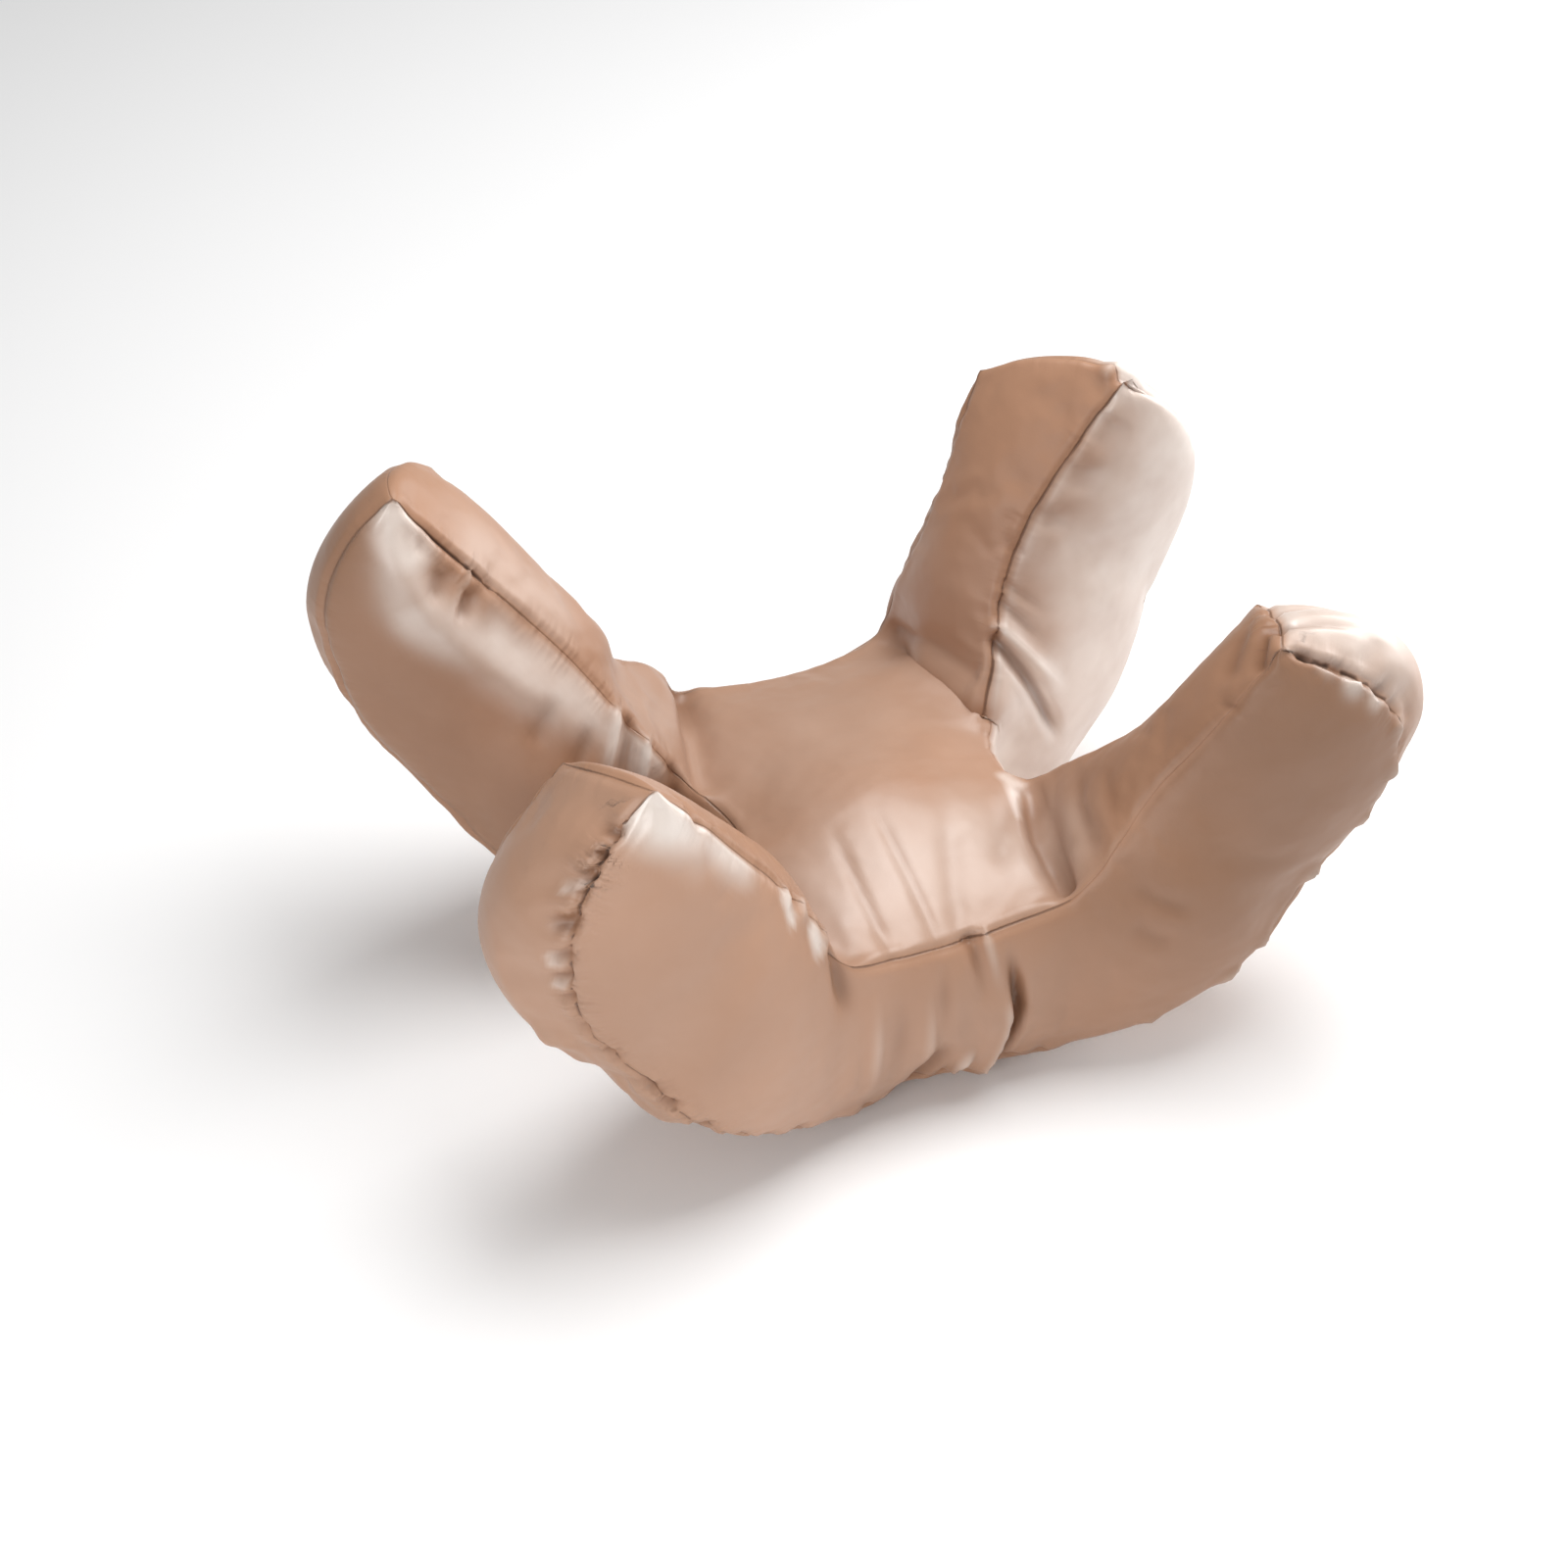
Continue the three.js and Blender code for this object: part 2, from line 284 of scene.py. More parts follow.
@dataclass(frozen=True)
class Arm:
    """One arm, from a corner of the pad up to its tip. Angles in degrees, lengths in metres.

    X and y are the signs of the corner that it grows from. What ends in "from" starts at that share of the
    arm's length.
    """

    name: str
    x: int
    y: int
    aim: float
    turn: float
    root_rise: float
    tip_rise: float
    twist: float
    length: float
    depth: float
    waist_half: float
    tip_half: float
    slant: float
    bow: float
    dome: float
    square: float
    pad: Pad = Pad()
    crown: Crown = Crown()
    cells: Cells = Cells()
    lean_from: float = 0.25
    waist: float = 0.5
    crown_from: float = 0.35
    round_from: float = 0.44
    slant_from: float = 0.45
    bow_power: float = 2.5
    path_steps: int = 40
    samples: int = 400

    @property
    def corners(self) -> tuple[np.ndarray, np.ndarray]:
        """Corners of the pad that the arm grows from.

        Returns:
            The corner on the front or back edge, then the one on the left or right edge.
        """
        end = np.array([self.x * self.pad.end_half, self.y * self.pad.end_out, self.pad.top_seam])
        flank = np.array([self.x * self.pad.side_out, self.y * self.pad.side_half, self.pad.top_seam])
        return end, flank

    def heading(self, share: np.ndarray) -> tuple[np.ndarray, np.ndarray, np.ndarray, np.ndarray]:
        """Plan direction and slope of the arm.

        Args:
            share: Shares of the arm's length.

        Returns:
            The outward and sideways directions in plan, the slope, and the direction along the arm.
        """
        aim = np.radians(self.aim + self.turn * share)
        level = np.zeros_like(share)
        outward = np.stack([self.x * np.cos(aim), self.y * np.sin(aim), level], -1)
        across = np.stack([-self.x * np.sin(aim), self.y * np.cos(aim), level], -1)
        rise = np.radians(mix(self.root_rise, self.tip_rise, share))
        forward = outward * column(np.cos(rise)) + UP * column(np.sin(rise))
        return outward, across, rise, forward

    def centre(self, share: np.ndarray) -> np.ndarray:
        """Middle of the inner face along the arm's path.

        Args:
            share: Shares of the arm's length.

        Returns:
            A point for each share.
        """
        steps = (np.arange(self.path_steps) + 0.5) / self.path_steps
        forward = self.heading(column(share) * steps)[3].mean(axis=1)
        end, flank = self.corners
        return (end + flank) / 2.0 + forward * column(self.length * share)

    def section(self, share: np.ndarray) -> Section:
        """Cross sections of the arm.

        Args:
            share: Shares of the arm's length.

        Returns:
            The sections, one row for each share.
        """
        outward, across, rise, forward = self.heading(share)
        lean = rise * smooth(share, 0.0, self.lean_from)
        normal = UP * column(np.cos(lean)) - outward * column(np.sin(lean))
        end, flank = self.corners

        def rolled(half: float, angle: float) -> np.ndarray:
            """Half width vectors, rolled about the arm by an angle."""
            return across * (half * math.cos(angle)) + normal * (half * math.sin(angle))

        to_waist = smooth(share, 0.0, self.waist)
        to_tip = smooth(share, self.waist, 1.0)
        tip_pull = smooth(share, self.slant_from, 1.0)
        twist = math.radians(self.twist)
        half = (end - flank) / 2.0 * column(1.0 - to_waist)
        half = half + rolled(self.waist_half, twist / 2.0) * column(to_waist - to_tip)
        half = half + rolled(self.tip_half, twist) * column(to_tip) + forward * column(self.slant * tip_pull)

        past_round = np.clip((share - self.round_from) / (1.0 - self.round_from), 0.0, 1.0)
        close = np.maximum(0.0, 1.0 - past_round ** self.square) ** (1.0 / self.square)
        depth = mix(self.pad.top_seam - self.pad.low_seam, self.depth, to_waist) * close
        up = smooth(share, 0.0, self.crown_from)
        return Section(self.centre(share), half, normal, depth, up, up * close,
                       forward * column(self.bow * tip_pull),
                       forward * column(self.dome * self.crown.bulge(close)))

    def outer_shares(self) -> np.ndarray:
        """Divides the outer face into rows of even length.

        Returns:
            The share of the arm's length at each row.
        """
        past = np.linspace(-1.0, 1.0, self.samples + 1)
        rounded = np.sin(np.maximum(past, 0.0) * math.pi / 2.0) ** (2.0 / self.square)
        shares = np.where(past < 0.0, self.round_from * (1.0 + past), mix(self.round_from, 1.0, rounded))
        at = self.section(shares)
        points = at.centre - at.normal * column(at.depth)
        steps = np.linalg.norm(np.diff(points, axis=0), axis=1)
        lengths = np.concatenate([[0.0], np.cumsum(steps)])
        return np.interp(np.linspace(0.0, lengths[-1], self.cells.along + 1), lengths, shares)

    def face(self, at: Section, outer: bool) -> np.ndarray:
        """Inner or outer face of the arm.

        Args:
            at: Sections, one for each row of the face.
            outer: True for the outer face.

        Returns:
            Rows and columns of points. The columns run from the end seam to the flank seam.
        """
        across = np.linspace(0.0, 1.0, self.cells.across + 1)
        side = 1.0 - 2.0 * across
        bulge = self.crown.bulge(across)
        points = at.centre[:, None] + at.half[:, None] * column(side)
        points = points + at.bow[:, None] * column(1.0 - np.abs(side) ** self.bow_power)
        full = at.crown[:, None] * bulge
        if not outer:
            return points + at.normal[:, None] * column(self.crown.inner * full)
        points = points + at.cap[:, None] * column(bulge)
        return points - at.normal[:, None] * column(at.depth[:, None] + self.crown.outer * full)

    def side(self, at: Section, inner: np.ndarray, outer: np.ndarray, end: bool) -> np.ndarray:
        """Side of the arm between its inner and outer seams, a pointed leaf.

        Args:
            at: Sections, one for each row.
            inner: Points of the inner face.
            outer: Points of the outer face.
            end: True for the side that joins the front or back edge.

        Returns:
            Rows and columns of points. The columns run from the inner seam down to the outer one.
        """
        col, towards = (0, 1.0) if end else (-1, -1.0)
        root_out = np.array([0.0, self.y, 0.0]) if end else np.array([self.x, 0.0, 0.0])
        sideways = unit(at.half) * towards
        push = mix(unit(sideways + root_out) * self.crown.root, sideways * self.crown.side, column(at.up))
        top, low = inner[:, col], outer[:, col]
        full_depth = self.pad.top_seam - self.pad.low_seam
        full = np.minimum(np.linalg.norm(top - low, axis=1) / full_depth, 1.0)
        share = np.linspace(0.0, 1.0, self.cells.down + 1)
        points = mix(top[:, None], low[:, None], column(share))
        return points + push[:, None] * column(column(full) * self.crown.bulge(share))


@dataclass(frozen=True)
class Edge:
    """Edge of the pad between two arm roots.

    Bow pushes the seams out, dip lowers the upper one, and lift raises the lower one.
    """

    name: str
    start: str
    stop: str
    end: bool
    cloth: Cloth
    out: tuple[float, float, float]
    bow: float
    dip: float
    lift: float

    def panel(self, first: np.ndarray, last: np.ndarray, cells: int, crown: Crown) -> np.ndarray:
        """Points of the side panel between the two arms.

        Args:
            first: Points down the root of the arm that the edge starts from.
            last: Points down the root of the arm that it ends at.
            cells: Number of cells along the edge.
            crown: How far the filling pushes.

        Returns:
            Rows and columns of points. The rows run along the edge, the columns down it.
        """
        along = np.linspace(0.0, 1.0, cells + 1)[:, None]
        share = np.linspace(0.0, 1.0, len(first))
        sag = arch(along)
        push = self.bow * sag + crown.edge * sag * crown.bulge(share)
        raised = mix(-self.dip, self.lift, share) * sag
        return mix(first, last, column(along)) + np.array(self.out) * column(push) + UP * column(raised)


@dataclass(frozen=True)
class Fold:
    """A fold in the cloth, along a line from place to place. A negative depth makes a ridge.

    Ridge is how high the cloth rises beside the fold. Fade is the share of the line over which the fold dies
    away at each end, sharp what is left of a fade of 0. Spread is how much the fold widens, and bend a place
    that the line passes through on its way.
    """

    start: Pair
    stop: Pair
    depth: float
    width: float
    ridge: float = 0.6
    fade: Pair = (0.3, 0.3)
    spread: float = 0.0
    bend: Pair | None = None
    sharp: float = 1e-6

    def press(self, line: np.ndarray, points: np.ndarray) -> np.ndarray:
        """How far the fold presses each point in: a trough with a low ridge on both sides.

        Args:
            line: Points along the fold.
            points: Points of the cover.

        Returns:
            A depth for each point.
        """
        best, along = line_distance(line, points)
        reach = (best / (self.width * (1.0 + self.spread * along))) ** 2
        starts = smooth(along, -self.sharp, self.fade[0])
        strength = starts * smooth(1.0 - along, -self.sharp, self.fade[1])
        return self.depth * strength * (1.0 - self.ridge * reach) * np.exp(-reach)


@dataclass(frozen=True)
class Gather:
    """A row of small folds that run from a stretch of a seam into a panel.

    Seam and reach are shares across the panel, start and stop shares along it. The pairs are the ranges that
    the folds' spacing, length, lean, depth and width vary in.
    """

    panel: str
    seam: float
    reach: float
    start: float
    stop: float
    count: int
    depth: float
    width: float
    seed: int
    spacing: Pair = (0.2, 0.8)
    lengths: Pair = (0.5, 1.0)
    leans: Pair = (-0.5, 0.5)
    depths: Pair = (0.5, 1.1)
    widths: Pair = (0.7, 1.2)
    ridge: float = 0.8
    fade: Pair = (0.0, 1.0)
    spread: float = 1.0

    def folds(self) -> list[Fold]:
        """Draws the folds of the row.

        Returns:
            The folds, in their order along the seam.
        """
        chance = np.random.default_rng(self.seed)
        step = (self.stop - self.start) / self.count
        folds = []
        for number in range(self.count):
            place = self.start + step * (number + chance.uniform(*self.spacing))
            far = self.seam + self.reach * chance.uniform(*self.lengths)
            folds.append(Fold(
                (place, self.seam), (place + step * chance.uniform(*self.leans), far),
                self.depth * chance.uniform(*self.depths), self.width * chance.uniform(*self.widths),
                self.ridge, self.fade, self.spread))
        return folds


@dataclass(frozen=True)
class PaintedStroke:
    """A stretch of cloth, along a line from place to place, painted lighter or darker to stand in for light
    and shade.

    A negative amount takes that share of an earlier painted highlight away, or paints the stretch darker as
    painted shade. Edge is how sharply the stretch ends.
    """

    start: Pair
    stop: Pair
    width: float
    # How much light is painted on, negative for painted shade.
    pale: float
    edge: float = 2.4

    def painted_amount(self, line: np.ndarray, points: np.ndarray, uneven: np.ndarray) -> np.ndarray:
        """How much light is painted on the cloth at each point, negative for painted shade: most along the
        line, dying away over the stretch's width.

        Args:
            line: Points along the stretch.
            points: Points of the cover.
            uneven: How many times wider the stretch is beside each point, which makes its outline ragged.

        Returns:
            An amount of painted light for each point.
        """
        away = line_distance(line, points)[0]
        return self.pale * np.exp(-(away / (self.width * uneven)) ** self.edge)


@dataclass(frozen=True)
class Seam:
    """A stretch of a panel's rim that is sewn tighter or looser than the other seams, from share to share.

    Pull is how deep the cloth is drawn in, gathers how much it puckers beside the stitches.
    """

    panel: str
    rim: Rim
    start: float
    stop: float
    pull: float
    gathers: float = 0.3
    blend: float = 0.05

    def weight(self, count: int) -> np.ndarray:
        """How far the stretch reaches along the rim.

        Args:
            count: Number of points along the rim.

        Returns:
            A share for each point: 1 inside the stretch, 0 outside.
        """
        share = np.linspace(0.0, 1.0, count)
        rises = smooth(share, self.start - self.blend, self.start + self.blend)
        return rises * smooth(-share, -self.stop - self.blend, -self.stop + self.blend)


class Varying:
    """A number that varies over a surface. Sums on it add Math nodes to its material."""

    def __init__(self, graph: "Graph", socket: bpy.types.NodeSocket) -> None:
        """Wraps an output socket of a graph."""
        self.graph = graph
        self.socket = socket

    def _sum(self, operation: str, first: "Varying | float", second: "Varying | float") -> "Varying":
        """Adds a Math node.

        Args:
            operation: The node's operation.
            first: Its first number.
            second: Its second number.

        Returns:
            The node's result.
        """
        node = self.graph.add("ShaderNodeMath", {"operation": operation}, {0: first, 1: second})
        return Varying(self.graph, node.outputs[0])

    def __add__(self, other: "Varying | float") -> "Varying":
        """Sum."""
        return self._sum("ADD", self, other)

    __radd__ = __add__

    def __sub__(self, other: "Varying | float") -> "Varying":
        """Difference."""
        return self._sum("SUBTRACT", self, other)

    def __rsub__(self, other: float) -> "Varying":
        """Difference from a plain number."""
        return self._sum("SUBTRACT", other, self)

    def __mul__(self, other: "Varying | float") -> "Varying":
        """Product."""
        return self._sum("MULTIPLY", self, other)

    __rmul__ = __mul__


@dataclass(frozen=True)
class Grain:
    """A soft noise: its spots in a metre, and how often they are broken up finer."""

    scale: float
    detail: float


class Graph:
    """The nodes of one material."""

    # Sockets of a Mix node that mixes colours
    SHARE, FROM, TO, MIXED = 0, 6, 7, 2

    def __init__(self, name: str) -> None:
        """Starts a material with a Principled shader on its output.

        Args:
            name: Name of the material.
        """
        self.material = bpy.data.materials.new(name)
        self.material.use_nodes = True
        self.tree = self.material.node_tree
        self.shader = self.tree.nodes["Principled BSDF"]

    def add(self, kind: str, settings: dict, sockets: dict) -> bpy.types.Node:
        """Adds a node.

        Args:
            kind: The node's type.
            settings: Its settings, set first.
            sockets: Values or links of its inputs, by name or number.

        Returns:
            The node.
        """
        node = self.tree.nodes.new(kind)
        for name, value in settings.items():
            setattr(node, name, value)
        self.feed(node, sockets)
        return node

    def feed(self, node: bpy.types.Node, sockets: dict) -> None:
        """Sets or links inputs of a node.

        Args:
            node: The node.
            sockets: Values or links of its inputs, by name or number.
        """
        for name, value in sockets.items():
            if isinstance(value, Varying):
                value = value.socket
            if isinstance(value, bpy.types.NodeSocket):
                self.tree.links.new(value, node.inputs[name])
            else:
                node.inputs[name].default_value = value

    def read(self, name: str) -> Varying:
        """The number that the cloth's points keep under a name."""
        return Varying(self, self.add("ShaderNodeAttribute", {"attribute_name": name}, {}).outputs["Fac"])

    def noise(self, where: bpy.types.NodeSocket, grain: Grain, dimensions: str = "3D") -> Varying:
        """Noise over the cloth.

        Args:
            where: Places to read the noise at.
            grain: What the noise is like.
            dimensions: 2D or 3D.

        Returns:
            The noise, from 0 to 1.
        """
        node = self.add("ShaderNodeTexNoise", {"noise_dimensions": dimensions}, {
            "Vector": where, "Scale": grain.scale, "Detail": grain.detail})
        return Varying(self, node.outputs["Fac"])

    def step(self, value: Varying, limit: Varying | float, near: float, far: float) -> Varying:
        """Soft step over a number.

        Args:
            value: The number.
            limit: Where the step ends. It starts at 0.
            near: Result at 0.
            far: Result at the limit.

        Returns:
            The result.
        """
        node = self.add("ShaderNodeMapRange", {"interpolation_type": "SMOOTHSTEP"}, {
            "Value": value, "From Min": 0.0, "From Max": limit, "To Min": near, "To Max": far})
        return Varying(self, node.outputs["Result"])

    def blend(self, share: Varying, first: bpy.types.NodeSocket | Color,
              second: Color) -> bpy.types.NodeSocket:
        """Colour between two colours.

        Args:
            share: Share of the second colour.
            first: The first colour.
            second: The second colour.

        Returns:
            The blended colour.
        """
        sockets = {self.SHARE: share, self.FROM: first, self.TO: second}
        return self.add("ShaderNodeMix", {"data_type": "RGBA"}, sockets).outputs[self.MIXED]


@dataclass(frozen=True)
class Satin:
    """Champagne rose satin with a soft broad sheen, partly painted into its colour as highlights and shade.

    What ends in "share" is how much of a noise or a fold shows, and what ends in "base" is added to it.
    """

    name: str = "champagne_satin"
    color: Color = (0.500, 0.270, 0.165, 1.0)
    # Darker end of the drifting colour, which the painted shade also reaches.
    shade: Color = (0.272, 0.142, 0.081, 1.0)
    # Colour of the painted highlights, on listed stretches and on fold ridges.
    pale: Color = (0.76, 0.66, 0.59, 1.0)
    # Painted shade in the troughs of narrow folds.
    deep: Color = (0.19, 0.080, 0.034, 1.0)
    # Painted shade in each seam's groove.
    groove: Color = (0.10, 0.05, 0.03, 1.0)
    groove_width: float = 0.0011
    groove_depth: float = 0.0009
    thread_width: float = 0.0004
    fold_depth: float = 0.0045
    # How much painted shade fills fold troughs, and how much painted highlight lies on fold ridges.
    trough_share: float = 0.62
    ridge_share: float = 0.45
    drift: Grain = Grain(14.0, 3.0)
    tone_share: float = 0.4
    tone_base: float = 0.3
    rough_share: float = 0.06
    rough_base: float = 0.43
    # Patches that break up the painted highlights.
    mottle: Grain = Grain(26.0, 3.0)
    mottle_share: float = 1.4
    mottle_base: float = 0.3
    pucker: Grain = Grain(190.0, 1.0)
    pucker_stretch: float = 0.25
    pucker_reach: float = 0.016
    pucker_height: float = 0.0035
    crumple: Grain = Grain(34.0, 2.0)
    crumple_height: float = 0.0022
    weave: Grain = Grain(1400.0, 1.0)
    weave_height: float = 0.00004
    specular: float = 0.42
    ior: float = 1.55
    coat_roughness: float = 0.34
    coat_ior: float = 1.9
    sheen: float = 0.05
    sheen_roughness: float = 0.35
    sheen_tint: Color = (1.0, 0.93, 0.88, 1.0)
    anisotropic: float = 0.2

    def build(self) -> bpy.types.Material:
        """Makes the material.

        Returns:
            The material.
        """
        graph = Graph(self.name)
        where = graph.add("ShaderNodeTexCoord", {}, {}).outputs["Object"]
        drift = graph.noise(where, self.drift)
        # Painted highlight: how far the satin is painted lighter; the same share sets its coat.
        painted_shine = graph.read(PaintLayer.SHINE.value)
        pull = graph.read("pull")
        width = pull * self.groove_width + self.thread_width
        # Seam groove: a bump, and a painted shade in the colour.
        groove = graph.step(graph.read("seam"), width, 1.0, 0.0) * pull
        dyed = self.dye(graph, where, drift, painted_shine, groove)
        height = self.relief(graph, where) - groove * self.groove_depth
        bump = graph.add("ShaderNodeBump", {}, {"Strength": 1.0, "Distance": 1.0, "Height": height})
        graph.feed(graph.shader, {
            "Base Color": dyed, "Roughness": drift * self.rough_share + self.rough_base,
            "Normal": bump.outputs["Normal"], "Coat Weight": painted_shine,
            "Specular IOR Level": self.specular, "IOR": self.ior,
            "Coat Roughness": self.coat_roughness, "Coat IOR": self.coat_ior,
            "Sheen Weight": self.sheen, "Sheen Roughness": self.sheen_roughness,
            "Sheen Tint": self.sheen_tint, "Anisotropic": self.anisotropic})
        return graph.material

    def dye(self, graph: Graph, where: bpy.types.NodeSocket, drift: Varying, painted_shine: Varying,
            groove: Varying) -> bpy.types.NodeSocket:
        """Colour of the satin: its drifting colour with painted light and shade, painted highlights on listed
        stretches and on ridges, painted shade in folds and grooves.

        Args:
            graph: The material's nodes.
            where: Places on the cloth.
            drift: Slow change over the cloth.
            painted_shine: How much highlight is painted onto the cloth.
            groove: How deep in a seam's groove it is; the groove gets a painted shade.

        Returns:
            The colour.
        """
        # Narrow folds: painted shade in their troughs, painted highlight on their ridges.
        crease = graph.read("crease")
        trough = graph.step(crease, self.fold_depth, 0.0, self.trough_share)
        ridge = graph.step(crease, -self.fold_depth, 0.0, self.ridge_share)
        # Patchy noise that breaks up the painted highlights.
        mottle = graph.noise(where, self.mottle) * self.mottle_share + self.mottle_base
        # Drifting colour plus the painted light and shade.
        tone = drift * self.tone_share + graph.read(PaintLayer.TONE.value) + self.tone_base
        # Painted highlights on listed stretches and on fold ridges.
        highlighted = graph.blend(painted_shine * mottle + ridge, graph.blend(tone, self.shade, self.color), self.pale)
        # Painted shade in fold troughs, then in seam grooves.
        return graph.blend(groove, graph.blend(trough, highlighted, self.deep), self.groove)

    def relief(self, graph: Graph, where: bpy.types.NodeSocket) -> Varying:
        """Height of the cloth: crumple, weave, and puckers that run from the seams.

        Args:
            graph: The material's nodes.
            where: Places on the cloth.

        Returns:
            The height in metres.
        """
        away = graph.read("seam")
        beside = graph.add("ShaderNodeCombineXYZ", {}, {
            "X": graph.read("run"), "Y": away * self.pucker_stretch})
        pucker = graph.noise(beside.outputs["Vector"], self.pucker, "2D")
        near = graph.step(away, self.pucker_reach, 1.0, 0.0)
        crumple = graph.noise(where, self.crumple) * self.crumple_height
        weave = graph.noise(where, self.weave) * self.weave_height
        return crumple + weave + pucker * near * graph.read("gathers") * self.pucker_height


@dataclass
class Cover:
    """The sewn cover: panels of points by name, welded where they meet."""

    arms: tuple[Arm, ...]
    edges: tuple[Edge, ...]
    pad: Pad = Pad()
    crown: Crown = Crown()
    cells: Cells = Cells()
    line_steps: int = 10
    weld_steps: float = 1e6
    panels: dict[str, np.ndarray] = field(default_factory=dict)
    cloths: dict[str, Cloth] = field(default_factory=dict)
    turned: dict[str, bool] = field(default_factory=dict)
    numbers: dict[str, np.ndarray] = field(default_factory=dict)

    def add(self, name: str, cloth: Cloth, points: np.ndarray, turned: bool) -> None:
        """Keeps a panel.

        Args:
            name: Name of the panel.
            cloth: Piece of satin that it is part of.
            points: Rows and columns of points.
            turned: True if its faces have to be turned to look outwards.
        """
        self.panels[name] = points
        self.cloths[name] = cloth
        self.turned[name] = turned

    def lay_out(self) -> None:
        """Fills in all the panels: arms first, then the edges between them, then the pad."""
        for arm in self.arms:
            self.add_arm(arm)
        for edge in self.edges:
            kind = "end" if edge.end else "flank"
            first = self.panels[f"{edge.start}.{kind}"][0]
            last = self.panels[f"{edge.stop}.{kind}"][0]
            count = self.cells.end if edge.end else self.cells.flank
            self.add(edge.name, edge.cloth, edge.panel(first, last, count, self.crown), False)
        top = self.pad_patch("inner", 0)
        top[1:-1, 1:-1, 2] = self.pad.top_height(top)[1:-1, 1:-1]
        self.add("pad_top", Cloth.TOP, top, False)
        under = self.pad_patch("outer", -1)
        under[1:-1, 1:-1, 2] = self.pad.under_height(under)[1:-1, 1:-1]
        self.add("pad_under", Cloth.UNDERSIDE, under, True)

    def add_arm(self, arm: Arm) -> None:
        """Adds the two faces and two sides of an arm.

        Args:
            arm: The arm.
        """
        at = arm.section(np.linspace(0.0, 1.0, self.cells.along + 1))
        inner = arm.face(at, False)
        outer = arm.face(arm.section(arm.outer_shares()), True)
        outer[-1] = inner[-1]
        mirrored = arm.x * arm.y < 0
        self.add(f"{arm.name}.inner", Cloth.TOP, inner, mirrored)
        self.add(f"{arm.name}.outer", Cloth.UNDERSIDE, outer, not mirrored)
        end_cloth = Cloth.FRONT if arm.y < 0 else Cloth.BACK
        flank_cloth = Cloth.LEFT if arm.x < 0 else Cloth.RIGHT
        self.add(f"{arm.name}.end", end_cloth, arm.side(at, inner, outer, True), not mirrored)
        self.add(f"{arm.name}.flank", flank_cloth, arm.side(at, inner, outer, False), mirrored)

    def pad_patch(self, face: str, col: int) -> np.ndarray:
        """Level patch inside the seam round the pad.

        Args:
            face: Face of the arms that the patch meets, inner or outer.
            col: Column of the edges' panels that lies on the seam.

        Returns:
            Rows of points from front to back, each from left to right.
        """
        front, right, back, left = (self.panels[name][:, col] for name in ("front", "right", "back", "left"))
        roots = {arm.name: self.panels[f"{arm.name}.{face}"][0] for arm in self.arms}
        right_side = [roots["front_right"][:-1], right[:-1], roots["back_right"][::-1]]
        left_side = [roots["front_left"][:-1], left[:0:-1], roots["back_left"][::-1]]
        return self.pad.patch(front, np.concatenate(right_side), back[::-1], np.concatenate(left_side))

    def line(self, panel: str, start: Pair, stop: Pair, bend: Pair | None = None) -> np.ndarray:
        """Points along a line on a panel.

        Args:
            panel: Name of the panel.
            start: Place where the line starts.
            stop: Place where it ends.
            bend: Place that it passes through half way, or None for a straight line.

        Returns:
            The points.
        """
        grid = self.panels[panel]
        last_row, last_col = grid.shape[0] - 1, grid.shape[1] - 1
        marks = np.array([start, stop] if bend is None else [start, bend, stop])
        share = np.linspace(0.0, 1.0, self.line_steps + 1)
        row_at, col_at = (np.interp(share, np.linspace(0.0, 1.0, len(marks)), way) * cells
                          for way, cells in zip(marks.T, (last_row, last_col)))
        row = np.minimum(row_at.astype(int), last_row - 1)
        col = np.minimum(col_at.astype(int), last_col - 1)
        near = mix(grid[row, col], grid[row, col + 1], column(col_at - col))
        far = mix(grid[row + 1, col], grid[row + 1, col + 1], column(col_at - col))
        return mix(near, far, column(row_at - row))

    def mesh(self, name: str) -> bpy.types.Mesh:
        """Welds the panels into one closed mesh.

        Args:
            name: Name of the mesh.

        Returns:
            The mesh, with the number of the cloth on each face.
        """
        numbers: dict[tuple[int, ...], int] = {}
        points: list[np.ndarray] = []
        faces: list[list[int]] = []
        cloths: list[int] = []
        around = [0, 1, 3, 2]
        for panel, grid in self.panels.items():
            number = np.zeros(grid.shape[:2], int)
            for place in np.ndindex(*number.shape):
                key = tuple(np.round(grid[place] * self.weld_steps).astype(int))
                if key not in numbers:
                    numbers[key] = len(points)
                    points.append(grid[place])
                number[place] = numbers[key]
            self.numbers[panel] = number
            for row, col in np.ndindex(number.shape[0] - 1, number.shape[1] - 1):
                ring = number[row:row + 2, col:col + 2].ravel()[around]
                face = [int(corner) for at, corner in enumerate(ring) if corner != ring[at - 1]]
                if len(set(face)) < 3:
                    continue
                faces.append(face[::-1] if self.turned[panel] else face)
                cloths.append(self.cloths[panel].value)
        mesh = bpy.data.meshes.new(name)
        mesh.from_pydata([tuple(point) for point in points], [], faces)
        mesh.attributes.new("cloth", "INT", "FACE").data.foreach_set("value", cloths)
        mesh.validate()
        return mesh

    def rim(self, panel: str, rim: Rim) -> np.ndarray:
        """Numbers of the mesh's points along a rim of a panel."""
        number = self.numbers[panel]
        return {Rim.FIRST: number[:, 0], Rim.LAST: number[:, -1], Rim.TIP: number[-1]}[rim]

    def sewn(self) -> list[tuple[str, Rim]]:
        """Lists the panels' rims that are sewn.

        Returns:
            The name of the panel and the rim, each seam once.
        """
        seams = [(edge.name, rim) for edge in self.edges for rim in (Rim.FIRST, Rim.LAST)]
        for arm in self.arms:
            seams += [(f"{arm.name}.inner", rim) for rim in Rim]
            seams += [(f"{arm.name}.outer", rim) for rim in (Rim.FIRST, Rim.LAST)]
        return seams

    def follow(self, places: np.ndarray) -> None:
        """Moves the panels to where the mesh's points are now."""
        for panel, number in self.numbers.items():
            self.panels[panel] = places[number]


